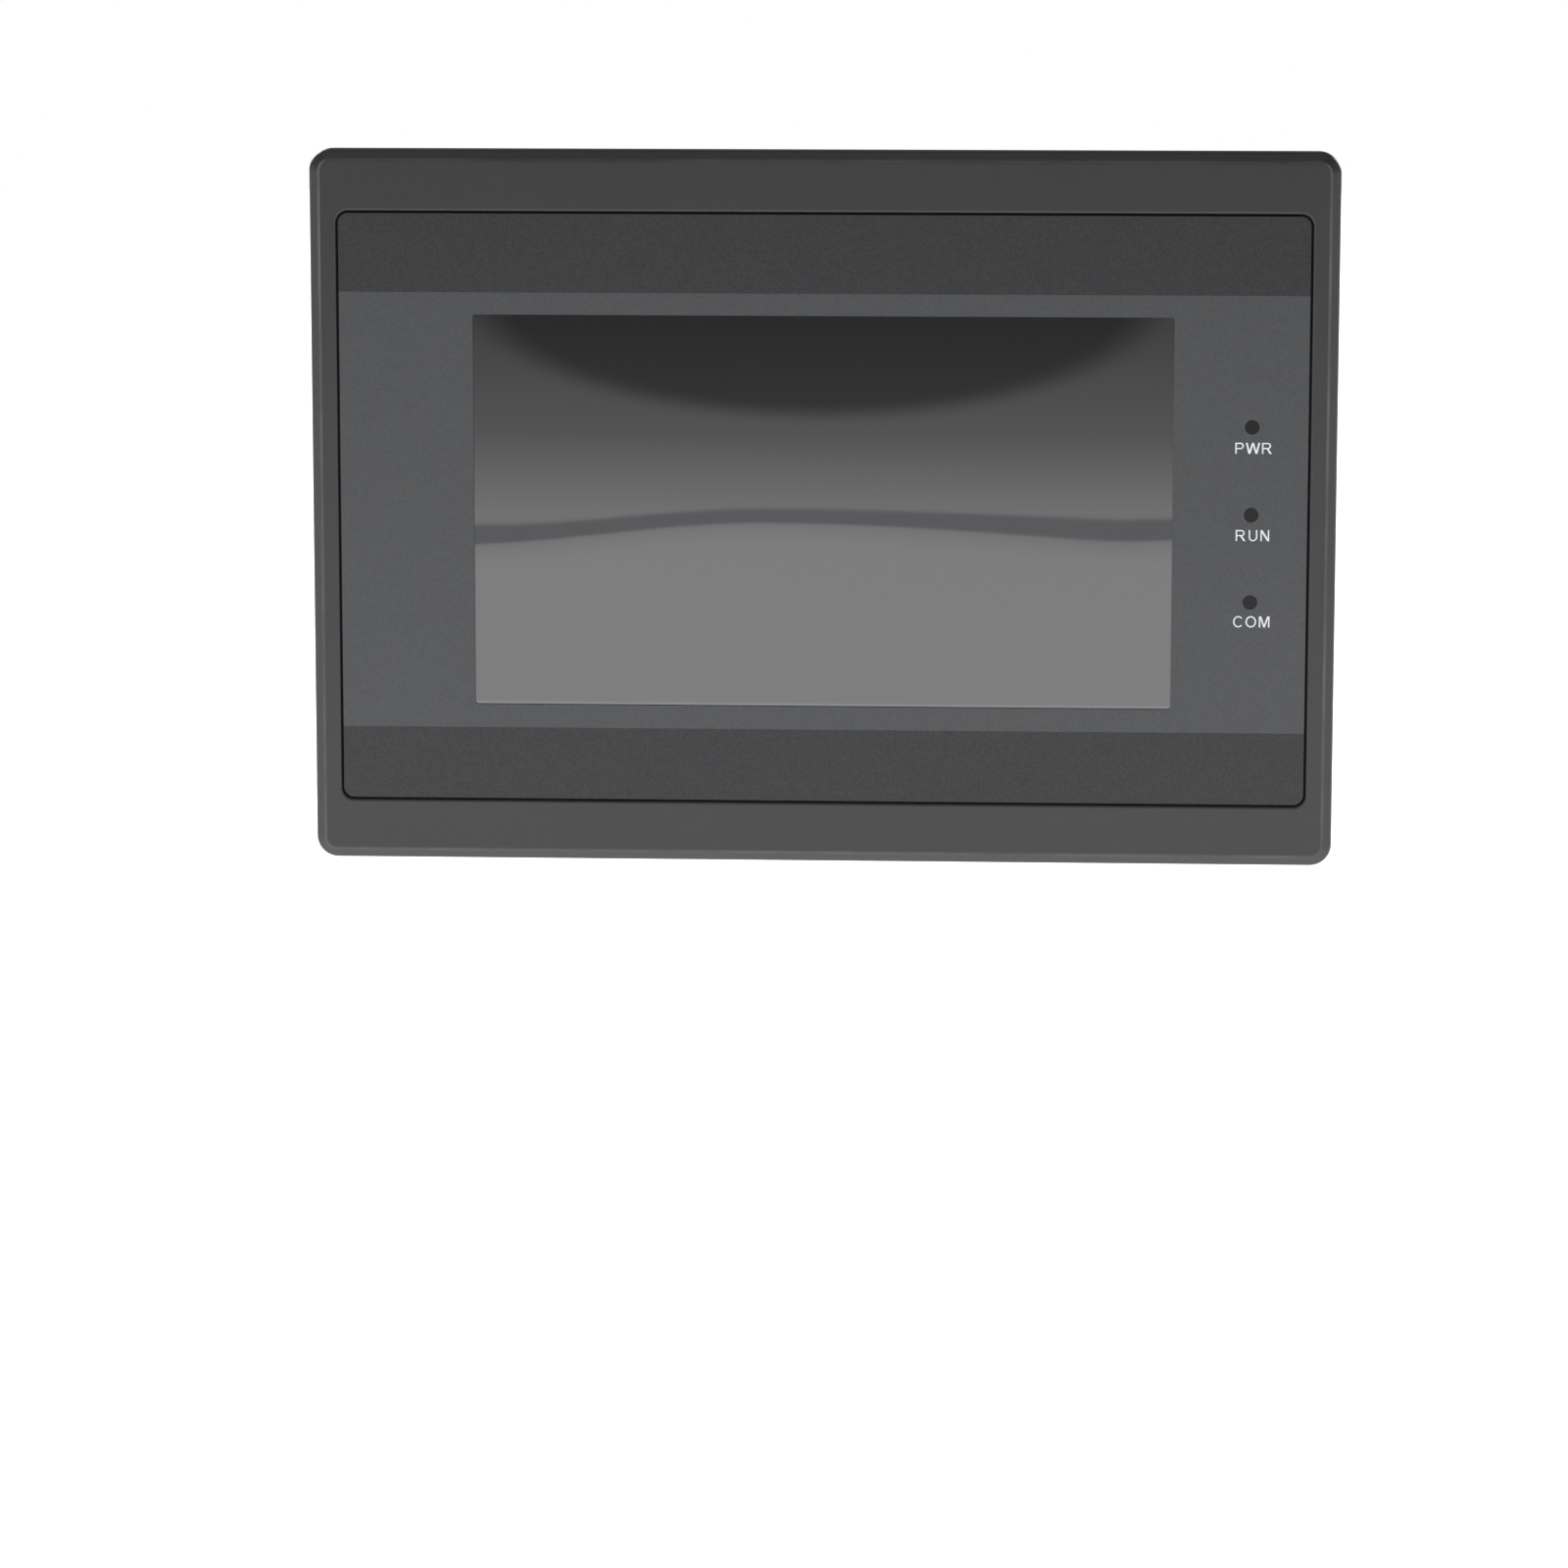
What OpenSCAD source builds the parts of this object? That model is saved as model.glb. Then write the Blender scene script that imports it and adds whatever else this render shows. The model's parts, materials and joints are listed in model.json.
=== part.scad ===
// Panel-mounted operator terminal with a 7 inch resistive touch display.
// The unit stands upright: X runs to the right, Z up, and the front faces -Y.
// The origin is the centre of the cabinet cut-out, on the plane where the
// bezel's rear flange seats against the cabinet sheet.

/* [Bezel] */
// Overall width of the front bezel
panel_w = 228; // [226:0.5:236]
// Overall height of the front bezel
panel_h = 159; // [158:0.5:168]
// Thickness of the bezel in front of the cabinet sheet
bezel_t = 7.5; // [7.2:0.1:9]
// Outer corner radius of the bezel
bezel_r = 4.8; // [3.5:0.1:7]
// Width of the sloped rim around the front edge
rim_w = 2.2; // [1.2:0.1:2.8]
// Depth of the sloped rim
rim_d = 1.8; // [1:0.1:2.5]

/* [Graphic overlay] */
// Width of the overlay film
overlay_w = 215; // [210:0.5:216]
// Height of the overlay film
overlay_h = 131; // [126:0.5:134]
// Thickness of the overlay film
overlay_t = 0.5; // [0.3:0.05:0.6]
// Gap between the overlay and the recess around it
overlay_gap = 0.5; // [0.2:0.05:0.6]
// Radius of the overlay's corners
overlay_r = 2.2; // [1:0.1:4]

/* [Display] */
// Width of the clear window
window_w = 155.4; // [154:0.2:156]
// Height of the clear window
window_h = 87.3; // [86:0.1:88.4]
// Height of the window's centre above the bezel's centre
window_z = -0.5; // [-1:0.1:1]
// Spacing of the three status lamps
lamp_pitch = 19.5; // [14:0.5:21]
// Radius of a status lamp's window
lamp_r = 1.6; // [1.2:0.1:1.8]

/* [Rear housing] */
// Overall depth of the rear housing behind the cabinet sheet
housing_d = 32; // [31.5:0.5:38]
// Wall thickness of the rear housing
wall = 2; // [1.6:0.1:2.2]
// Number of vent slots in each group
vents = 8; // [4:1:8]
// Width of one vent slot
vent_w = 2.4; // [1.6:0.1:3]

/* [Mounting clamps] */
// Thickness of the cabinet sheet that the clamp screws are set for
sheet_t = 2.5; // [2.2:0.1:4]
// Length of a clamp screw under its head
screw_l = 25; // [24.5:0.5:26]
// Thickness of the clamp's sheet steel
clamp_t = 1.2; // [0.8:0.1:1.3]
// Free travel of a clamp in its slots
clamp_travel = 4; // [2:0.5:4]

/* [Hidden] */
$fn = 48;
e = 0.01;

// Layers along Y, from the front to the back
y_front = -bezel_t;
y_film = y_front + 0.2;              // front of the overlay
y_seat = y_film + overlay_t;         // floor of the overlay's recess
y_touch = y_seat + 2.0;              // back of the touch panel's pocket
y_ledge = y_seat + 3.6;              // back of the bezel's front wall
y_disp = y_ledge + 0.6;              // front of the display's frame
disp_t = 5.8;                        // thickness of the display module
y_chas = y_disp + disp_t;            // front of the chassis plate
y_stand = y_chas + 1;                // back of the chassis plate
y_pcb = y_stand + 6;                 // front of the main board
y_comp = y_pcb + 1.6;                // component side of the main board
y_step = y_comp - 0.2;               // back of the shallow lower part

// Housing outline
house_w = panel_w - 24;
house_h = panel_h - 16;
house_r = 4;
step_z = -54;                        // underside of the deep part
deep_h = house_h / 2 - step_z;
deep_z = (house_h / 2 + step_z) / 2;

// Display module and touch panel outline
disp_w = 165;
disp_h = 100;

// Screw positions
post_x = house_w / 2 - 9;
post_z = house_h / 2 - 9.5;
chas_x = 88.5;
chas_z = 44;
lamp_x = panel_w / 2 - 18.9;

// Main board
pcb_w = 172;
pcb_top = 49;
pcb_bot = -51;
stand_x = 82;
stand_zs = [41.5, -42.5];

// Connector positions along X
term_x = -70;
pitch = 5.08;
com_xs = [-36, 2];
com_y = y_comp + 6.6;
usb_a_x = 33;
usb_a_y = y_comp + 3.2;
usb_b_x = 54;
usb_b_y = y_comp + 2.0;
mode_x = 72;
mode_y = y_comp + 3.2;

// Terminal plug
plug_y0 = y_comp + 1.2;
plug_y1 = plug_y0 + 11.2;
tongue_y0 = y_comp + 2.55;           // mating part of the plug
tongue_y1 = tongue_y0 + 7.3;
pole_z = -59.4;
pin_y = (tongue_y0 + tongue_y1) / 2;

// Clamps
clamp_x = house_w / 2;               // outer face of the housing's side wall
screw_x = clamp_x + 3.9;
plate_y1 = 24.9;
arm_z = 5.7;                         // inner face of each arm
slot_y1 = 23.2;

// ---------- helpers ----------

module rrect(w, h, r) {
    square([w - 2 * r, h], center = true);
    square([w, h - 2 * r], center = true);
    for (sx = [-1, 1], sz = [-1, 1])
        translate([sx * (w / 2 - r), sz * (h / 2 - r)]) circle(r = r);
}

// Extrudes a 2D outline, drawn in X and Z, from y0 to y1
module slab(y0, y1) {
    translate([0, y1, 0]) rotate([90, 0, 0]) linear_extrude(y1 - y0) children();
}

module rbox(w, h, r, y0, y1, z = 0, x = 0) {
    translate([x, 0, z]) slab(y0, y1) rrect(w, h, r);
}

// A flat ring with square inner edges
module ring(w, h, iw, ih, y0, y1, z = 0) {
    translate([0, 0, z]) slab(y0, y1) difference() {
        square([w, h], center = true);
        square([iw, ih], center = true);
    }
}

module ycyl(x, z, r, y0, y1) {
    translate([x, y1, z]) rotate([90, 0, 0]) cylinder(h = y1 - y0, r = r);
}

module zcyl(x, y, r, z0, z1) {
    translate([x, y, z0]) cylinder(h = z1 - z0, r = r);
}

// A box from one corner to the opposite one
module bx(x0, x1, y0, y1, z0, z1) {
    translate([x0, y0, z0]) cube([x1 - x0, y1 - y0, z1 - z0]);
}

// Strip of film that follows points [y, z], drawn across X
module strip(x0, x1, pts, t) {
    for (i = [0:len(pts) - 2]) {
        a = pts[i];
        b = pts[i + 1];
        bx(x0, x1, min(a[0], b[0]), max(a[0], b[0]) + t, min(a[1], b[1]), max(a[1], b[1]) + t);
    }
}

// Outline of a D-shaped connector shell: w by h, grown by g
module d_outline(w, h, g) {
    r = 2.2 + g;
    cx = w / 2 - 2.2;
    cy = h / 2 - 2.2;
    dx = 2 * cy * tan(10);
    corners = [[-cx + dx, -cy, 190, 270], [cx - dx, -cy, 270, 350],
        [cx, cy, -10, 90], [-cx, cy, 90, 190]];
    polygon([for (c = corners, k = [0:6]) let (a = c[2] + (c[3] - c[2]) * k / 6)
        [c[0] + r * cos(a), c[1] + r * sin(a)]]);
}

module pan_screw(x, z, y_seat_, len, r, head_r, head_h, dir = 1) {
    // The head lies on the +Y side of y_seat_, and the shank runs towards -Y
    difference() {
        union() {
            ycyl(x, z, r, y_seat_ - len, y_seat_);
            ycyl(x, z, head_r, y_seat_, y_seat_ + head_h * 0.6);
            translate([x, y_seat_ + head_h * 0.6, z]) rotate([-90, 0, 0])
                cylinder(h = head_h * 0.4, r1 = head_r, r2 = head_r * 0.72);
        }
        for (a = [0, 90]) translate([x, y_seat_ + head_h, z]) rotate([0, a, 0])
            cube([head_r * 1.15, head_h * 1.1, 0.7], center = true);
    }
}

// ---------- front ----------

module front_bezel() color([0.27, 0.27, 0.275]) {
    cw = panel_w / 2 - bezel_r;
    ch = panel_h / 2 - bezel_r;
    yr = y_front + rim_d;
    difference() {
        union() {
            rbox(panel_w, panel_h, bezel_r, yr, 0);
            // sloped rim: two crossed prisms and a cone on each corner
            translate([-cw, 0, 0]) rotate([90, 0, 90]) linear_extrude(2 * cw)
                polygon([[yr, -panel_h / 2], [yr, panel_h / 2],
                    [y_front, panel_h / 2 - rim_w], [y_front, -panel_h / 2 + rim_w]]);
            translate([0, 0, -ch]) linear_extrude(2 * ch)
                polygon([[-panel_w / 2, yr], [panel_w / 2, yr],
                    [panel_w / 2 - rim_w, y_front], [-panel_w / 2 + rim_w, y_front]]);
            for (sx = [-1, 1], sz = [-1, 1]) translate([sx * cw, yr, sz * ch])
                rotate([90, 0, 0]) cylinder(h = rim_d, r1 = bezel_r, r2 = bezel_r - rim_w);
        }
        // recess for the overlay film
        rbox(overlay_w + 2 * overlay_gap, overlay_h + 2 * overlay_gap,
            overlay_r + overlay_gap, y_front - 1, y_seat);
        // glue groove under the overlay's edge
        slab(y_front - 1, y_seat + 0.8) difference() {
            rrect(overlay_w + 2 * overlay_gap, overlay_h + 2 * overlay_gap, overlay_r + overlay_gap);
            rrect(overlay_w - 0.8, overlay_h - 0.8, overlay_r - 0.4);
        }
        // pocket for the touch panel, and the window
        rbox(disp_w + 1, disp_h + 1, 1, y_front - 1, y_touch, window_z);
        rbox(window_w + 1.6, window_h + 1.7, 1, y_front - 1, 1, window_z);
        // passage for the touch panel's tail
        bx(33, 47, y_touch - 0.5, y_ledge + 1, window_z - disp_h / 2 - 0.5, window_z - disp_h / 2 + 3);
        // lamp holes
        for (i = [-1:1]) ycyl(lamp_x, window_z + i * lamp_pitch, lamp_r - 0.05, y_front, 1);
        // pocket behind the front wall
        rbox(house_w - 6, house_h - 6, 3, y_ledge, 1);
        // rebate for the housing's edge
        rbox(house_w + 0.3, house_h + 0.3, house_r + 0.15, -1, 1);
        // groove for the panel gasket
        difference() {
            rbox(house_w + 10.4, house_h + 10.4, 5, -1.5, 1);
            rbox(house_w + 5.4, house_h + 5.4, 5, -2, 2);
        }
    }
    // bosses for the housing screws
    for (sx = [-1, 1], sz = [-1, 1]) difference() {
        ycyl(sx * post_x, sz * post_z, 3.5, y_ledge - 0.5, 4);
        ycyl(sx * post_x, sz * post_z, 1.3, y_ledge + 0.8, 5);
    }
    // bosses for the chassis plate
    for (sx = [-1, 1], sz = [-1, 1]) difference() {
        ycyl(sx * chas_x, window_z + sz * chas_z, 3, y_ledge - 0.5, y_chas);
        ycyl(sx * chas_x, window_z + sz * chas_z, 1.25, y_ledge + 0.8, y_chas + 1);
    }
    // rests for the lamp board
    for (sz = [-1, 1]) bx(lamp_x - 3, lamp_x + 1.5, y_ledge - 0.5, y_ledge + 1.4,
        window_z + sz * 25 - 1, window_z + sz * 25 + 1);
}

module graphic_overlay() color([0.36, 0.36, 0.37]) difference() {
    rbox(overlay_w, overlay_h, overlay_r, y_film, y_seat);
    rbox(window_w, window_h, 0.6, y_film - 1, y_seat + 1, window_z);
    for (i = [-1:1]) ycyl(lamp_x, window_z + i * lamp_pitch, lamp_r, y_film - 1, y_seat + 1);
}

module lamp_lenses() color([0.14, 0.14, 0.15]) for (i = [-1:1]) {
    z = window_z + i * lamp_pitch;
    ycyl(lamp_x, z, lamp_r - 0.03, y_film, y_seat);
    ycyl(lamp_x, z, lamp_r - 0.12, y_seat, y_ledge);
}

module touch_film() color([0.3, 0.3, 0.31])
    rbox(disp_w, disp_h, 0.6, y_seat, y_seat + 0.2, window_z);

module touch_spacer() color([0.1, 0.1, 0.1])
    ring(disp_w, disp_h, window_w + 1.6, window_h + 3.7, y_seat + 0.2, y_seat + 0.4, window_z);

module touch_glass() color([0.42, 0.45, 0.45])
    rbox(disp_w, disp_h, 0.6, y_seat + 0.4, y_touch - 0.2, window_z);

module touch_tape() color([0.08, 0.08, 0.08])
    ring(disp_w - 0.4, disp_h - 0.4, window_w + 2.6, window_h + 3.7, y_touch - 0.2, y_touch, window_z);

module touch_tail() color([0.75, 0.5, 0.15]) {
    z0 = window_z - disp_h / 2 - 0.35;
    strip(34, 46, [[y_seat + 0.9, z0 + 0.2], [y_seat + 0.9, z0], [y_stand + 2.2, z0],
        [y_stand + 2.2, z0 + 3.4], [y_stand + 5.1, z0 + 3.4], [y_stand + 5.1, z0 + 4.2]], 0.15);
}

module display_gasket() color([0.07, 0.07, 0.07])
    ring(disp_w - 1, disp_h - 1, window_w + 2.2, window_h + 2.3, y_ledge, y_disp, window_z);

module display_frame() color([0.72, 0.73, 0.75]) translate([0, 0, window_z]) difference() {
    slab(y_disp, y_disp + disp_t) square([disp_w, disp_h], center = true);
    slab(y_disp + 0.4, y_disp + disp_t + 1) square([disp_w - 0.8, disp_h - 0.8], center = true);
    slab(y_disp - 1, y_disp + 1) square([window_w + 0.6, window_h + 0.9], center = true);
    // mouth for the display's flex
    bx(-32, -8, y_disp + 4.2, y_disp + disp_t + 1, -disp_h / 2 - 1, -disp_h / 2 + 1);
}

module display_glass() color([0.05, 0.055, 0.06])
    ring_fill(disp_w - 1.4, disp_h - 1.4, y_disp + 0.4, y_disp + 1.6);

module light_guide() color([0.9, 0.92, 0.92])
    ring_fill(disp_w - 1.4, disp_h - 1.4, y_disp + 1.6, y_disp + 4.0);

module ring_fill(w, h, y0, y1)
    translate([0, 0, window_z]) slab(y0, y1) square([w, h], center = true);

module backlight_tray() color([0.88, 0.88, 0.86]) difference() {
    ring_fill(disp_w - 1.4, disp_h - 1.4, y_disp + 4.0, y_disp + disp_t);
    for (x = [-55, 0, 55]) bx(x - 22, x + 22, y_disp + 5.1, y_disp + disp_t + 1,
        window_z - 30, window_z + 34);
}

module display_flex() color([0.78, 0.52, 0.16]) {
    z0 = window_z - disp_h / 2 - 0.35;
    strip(-30.5, -9.5, [[y_disp + 4.6, z0 + 0.9], [y_disp + 4.6, z0], [y_stand + 1.4, z0],
        [y_stand + 1.4, z0 + 3.4], [y_stand + 5.1, z0 + 3.4], [y_stand + 5.1, z0 + 4.2]], 0.15);
}

// ---------- chassis and boards ----------

module chassis_plate() color([0.7, 0.71, 0.72]) difference() {
    translate([0, 0, window_z]) slab(y_chas, y_stand) rrect(184, 112, 4);
    for (sx = [-1, 1], sz = [-1, 1]) ycyl(sx * chas_x, window_z + sz * chas_z, 1.7, y_chas - 1, y_stand + 1);
    for (sx = [-1, 1], z = stand_zs) ycyl(sx * stand_x, z, 1.65, y_chas - 1, y_stand + 1);
    for (x = [-42, 42]) rbox(58, 44, 4, y_chas - 1, y_stand + 1, 2, x);
    bx(-33, -7, y_chas - 1, y_stand + 1, -53.5, -47.5);
    bx(31, 49, y_chas - 1, y_stand + 1, -53.5, -47.5);
}

module chassis_screws() color([0.8, 0.8, 0.82]) for (sx = [-1, 1], sz = [-1, 1])
    pan_screw(sx * chas_x, window_z + sz * chas_z, y_stand, 5.5, 1.2, 2.8, 2);

module board_standoffs() color([0.83, 0.68, 0.32]) for (sx = [-1, 1], z = stand_zs) difference() {
    union() {
        translate([sx * stand_x, y_pcb, z]) rotate([90, 0, 0]) cylinder(h = 6, r = 3.175, $fn = 6);
        ycyl(sx * stand_x, z, 1.6, y_chas, y_stand + e);
    }
    ycyl(sx * stand_x, z, 1.25, y_chas - 1, y_pcb + 1);
}

module main_board() color([0.05, 0.32, 0.17]) difference() {
    rbox(pcb_w, pcb_top - pcb_bot, 2, y_pcb, y_comp, (pcb_top + pcb_bot) / 2);
    for (sx = [-1, 1], z = stand_zs) ycyl(sx * stand_x, z, 1.7, y_pcb - 1, y_comp + 1);
}

module board_screws() color([0.8, 0.8, 0.82]) for (sx = [-1, 1], z = stand_zs)
    pan_screw(sx * stand_x, z, y_comp, 5, 1.2, 2.8, 2);

module lamp_board() color([0.06, 0.3, 0.18])
    bx(lamp_x - 4.1, lamp_x + 1.8, y_ledge + 1.4, y_ledge + 2.4, window_z - 27, window_z + 27);

module status_lamps() color([0.9, 0.9, 0.8]) for (i = [-1:1]) {
    z = window_z + i * lamp_pitch;
    bx(lamp_x - 1, lamp_x + 1, y_ledge + 0.9, y_ledge + 1.4, z - 0.7, z + 0.7);
    bx(lamp_x - 0.7, lamp_x + 0.7, y_ledge + 0.4, y_ledge + 0.9, z - 0.6, z + 0.6);
}

module lamp_cable() color([0.85, 0.85, 0.85]) {
    z0 = -19;
    z1 = -11;
    bx(lamp_x - 1.6, lamp_x - 0.9, y_ledge + 2.4, 7.6, z0, z1);
    bx(82.6, lamp_x - 0.9, 7.0, 7.6, z0, z1);
    bx(82.6, 83.3, 7.6, y_pcb - 1.9, z0, z1);
}

module flex_connectors() color([0.9, 0.88, 0.8]) {
    bx(-33, -7, y_pcb - 2, y_pcb, -46.5, -41.5);
    bx(32.5, 47.5, y_pcb - 2, y_pcb, -46.5, -41.5);
    bx(80.5, 85, y_pcb - 1.9, y_pcb, -20.5, -9.5);
}

module processor() color([0.1, 0.1, 0.11]) {
    bx(-22, -2, y_comp + 0.2, y_comp + 1.8, 2, 22);
    difference() {
        bx(-23.2, -0.8, y_comp, y_comp + 0.2, 0.8, 23.2);
        for (i = [0:19]) {
            bx(-24, -22.2, y_comp - 1, y_comp + 1, 2.35 + i, 2.85 + i);
            bx(-1.8, 0, y_comp - 1, y_comp + 1, 2.35 + i, 2.85 + i);
        }
    }
}

module memory_chips() color([0.12, 0.12, 0.12]) {
    bx(8, 26, y_comp, y_comp + 1.1, 16, 26);
    bx(8, 26, y_comp, y_comp + 1.1, 2, 12);
    bx(-44, -36, y_comp, y_comp + 1.6, -4, 4);
    bx(-6, -1, y_comp, y_comp + 1.5, -20, -14);
}

module power_inductors() color([0.2, 0.2, 0.21]) for (p = [[-66, -24], [-50, -24]])
    rbox(12, 12, 2.5, y_comp, y_comp + 6, p[1], p[0]);

module capacitors() color([0.75, 0.76, 0.78]) for (p = [[-72, 6], [-60, 6], [-72, 20], [-34, -26]]) {
    ycyl(p[0], p[1], 4, y_comp + 0.6, y_comp + 10.5);
    rbox(8.6, 8.6, 1, y_comp, y_comp + 0.6, p[1], p[0]);
}

module battery_holder() color([0.13, 0.13, 0.14]) difference() {
    rbox(25, 23, 2, y_comp, y_comp + 4.6, 18, 52);
    ycyl(52, 18, 10.1, y_comp + 1.2, y_comp + 6);
    bx(60, 66, y_comp + 1.2, y_comp + 6, 12, 24);
}

module coin_cell() color([0.8, 0.81, 0.82]) {
    ycyl(52, 18, 10, y_comp + 1.2, y_comp + 4.0);
    ycyl(52, 18, 9.2, y_comp + 4.0, y_comp + 4.4);
}

module buzzer() color([0.08, 0.08, 0.08]) difference() {
    ycyl(66, -20, 6, y_comp, y_comp + 8);
    ycyl(66, -20, 1.2, y_comp + 6, y_comp + 9);
}

// ---------- connectors ----------

module terminal_header() color([0.16, 0.55, 0.3]) difference() {
    bx(term_x - 8.7, term_x + 8.7, y_comp, tongue_y1 + 0.95, step_z, step_z + 12);
    bx(term_x - 7.95, term_x + 7.95, tongue_y0 - 0.2, tongue_y1 + 0.2, step_z - 1, step_z + 9);
    for (i = [-1:1]) bx(term_x + i * pitch - 0.52, term_x + i * pitch + 0.52,
        pin_y - 0.52, pin_y + 0.52, step_z + 8, step_z + 13);
    for (i = [-1:1]) bx(term_x + i * pitch - 1.2, term_x + i * pitch + 1.2,
        tongue_y1 + 0.5, tongue_y1 + 2, step_z - 1, step_z + 3);
}

module header_pins() color([0.85, 0.83, 0.78]) for (i = [-1:1]) {
    x = term_x + i * pitch;
    bx(x - 0.5, x + 0.5, pin_y - 0.5, pin_y + 0.5, step_z + 1.6, step_z + 13.4);
    bx(x - 0.5, x + 0.5, y_comp, pin_y - 0.5, step_z + 12.4, step_z + 13.4);
}

module terminal_plug() color([0.2, 0.6, 0.36]) difference() {
    union() {
        // clamping part
        translate([term_x - 8.3, 0, 0]) rotate([90, 0, 90]) linear_extrude(16.6)
            polygon([[plug_y0, -64.2], [plug_y1 - 1.6, -64.2], [plug_y1, -62.9],
                [plug_y1, -54.6], [plug_y1 - 0.4, -54.2], [plug_y0, -54.2]]);
        // mating part
        bx(term_x - 7.75, term_x + 7.75, tongue_y0, tongue_y1, -54.2, -45.8);
    }
    // grooves along the mating part
    for (i = [-1:1]) bx(term_x + i * pitch - 1.5, term_x + i * pitch + 1.5,
        tongue_y1 - 0.5, tongue_y1 + 1, -54.1, -45);
    for (i = [-1, 0]) bx(term_x + i * pitch + 2.3, term_x + i * pitch + 2.8,
        tongue_y1 - 1.2, tongue_y1 + 1, -54.1, -45);
    for (i = [-1:1]) {
        x = term_x + i * pitch;
        // chamber for the contact and the rising cage
        bx(x - 2.05, x + 2.05, plug_y0 + 0.8, plug_y0 + 7.9, -63.2, -55.6);
        bx(x - 1.1, x + 1.1, pin_y - 1.3, pin_y + 1.3, -56, -45);
        // wire entry
        bx(x - 1.7, x + 1.7, plug_y0 + 1.4, plug_y0 + 4.3, -65, -63);
        // screw hole with a shoulder under the head
        ycyl(x, pole_z, 1.33, plug_y0 + 7, plug_y0 + 9);
        ycyl(x, pole_z, 2.05, plug_y0 + 8.5, plug_y1 + 1);
        // test slot
        bx(x - 1.1, x + 1.1, plug_y1 - 1.2, plug_y1 + 1, -62.75, -61.95);
    }
}

module plug_contacts() color([0.8, 0.78, 0.7]) for (i = [-1:1]) {
    x = term_x + i * pitch;
    difference() {
        bx(x - 1.05, x + 1.05, pin_y - 1.25, pin_y + 1.25, -55.5, -46.1);
        bx(x - 0.65, x + 0.65, pin_y - 0.65, pin_y + 0.65, -53.8, -45);
    }
    // tongue that the cage pulls the wire against
    bx(x - 1.05, x + 1.05, plug_y0 + 3.7, plug_y0 + 4.1, -62.4, -55.5);
}

module terminal_screw(i) color([0.82, 0.83, 0.85]) {
    x = term_x + i * pitch;
    difference() {
        union() {
            ycyl(x, pole_z, 1.9, plug_y0 + 8.55, plug_y0 + 10.2);
            ycyl(x, pole_z, 1.25, plug_y0 + 4.4, plug_y0 + 8.6);
        }
        translate([x, plug_y0 + 10.2, pole_z]) rotate([0, 35 + 40 * i, 0])
            cube([4.4, 1.6, 0.6], center = true);
    }
}

module wire_clamp(i) color([0.78, 0.75, 0.66]) {
    x = term_x + i * pitch;
    y0 = plug_y0 + 0.85;
    difference() {
        bx(x - 1.95, x + 1.95, y0, y0 + 4.7, pole_z - 2.6, pole_z + 2.6);
        bx(x - 1.3, x + 1.3, y0 + 0.7, y0 + 3.6, pole_z - 4, pole_z + 4);
        ycyl(x, pole_z, 1.31, y0 + 3, y0 + 6);
    }
}

module com_port_shells() color([0.8, 0.81, 0.83]) for (x = com_xs) difference() {
    union() {
        translate([x, com_y, 0]) difference() {
            translate([0, 0, step_z + 2.1]) linear_extrude(0.9) rrect(30.8, 12.5, 2);
            for (sx = [-1, 1]) translate([sx * 12.495, 0, step_z]) cylinder(h = 5, r = 1.6);
        }
        translate([x, com_y, step_z - 3.8]) linear_extrude(6) d_outline(16.3, 7.9, 0);
    }
    translate([x, com_y, step_z - 5]) linear_extrude(9) d_outline(16.3, 7.9, -0.45);
}

module com_port_inserts() color([0.09, 0.09, 0.1]) for (x = com_xs) difference() {
    union() {
        translate([x, com_y, step_z - 3.6]) linear_extrude(6.8) d_outline(16.3, 7.9, -0.5);
        bx(x - 15.4, x + 15.4, y_comp, com_y + 6.2, step_z + 3, step_z + 14);
    }
    for (k = [0:4]) zcyl(x + (k - 2) * 2.77, com_y + 1.42, 0.55, step_z - 5, step_z + 1);
    for (k = [0:3]) zcyl(x + (k - 1.5) * 2.77, com_y - 1.42, 0.55, step_z - 5, step_z + 1);
}

module com_port_jackscrews() color([0.82, 0.8, 0.7]) for (x = com_xs, sx = [-1, 1])
    translate([x + sx * 12.495, com_y, 0]) difference() {
        union() {
            translate([0, 0, step_z - 4.8]) cylinder(h = 4.8, r = 2.74, $fn = 6);
            translate([0, 0, step_z - e]) cylinder(h = 3 + e, r = 1.5);
        }
        translate([0, 0, step_z - 6]) cylinder(h = 6, r = 1.42);
    }

module usb_shells() color([0.8, 0.81, 0.83]) {
    difference() {
        bx(usb_a_x - 6.6, usb_a_x + 6.6, usb_a_y - 3.2, usb_a_y + 3.2, step_z - 0.3, step_z + 14);
        bx(usb_a_x - 6.25, usb_a_x + 6.25, usb_a_y - 2.85, usb_a_y + 2.85, step_z - 1, step_z + 10);
    }
    difference() {
        translate([usb_b_x, 0, step_z - 0.2]) linear_extrude(9.6)
            polygon([[-3.85, usb_b_y + 2], [-3.85, usb_b_y - 0.6], [-3.0, usb_b_y - 1.4],
                [-3.0, usb_b_y - 2], [3.0, usb_b_y - 2], [3.0, usb_b_y - 1.4],
                [3.85, usb_b_y - 0.6], [3.85, usb_b_y + 2]]);
        translate([usb_b_x, 0, step_z - 1]) linear_extrude(8)
            polygon([[-3.5, usb_b_y + 1.65], [-3.5, usb_b_y - 0.45], [-2.65, usb_b_y - 1.25],
                [-2.65, usb_b_y - 1.65], [2.65, usb_b_y - 1.65], [2.65, usb_b_y - 1.25],
                [3.5, usb_b_y - 0.45], [3.5, usb_b_y + 1.65]]);
    }
}

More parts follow.
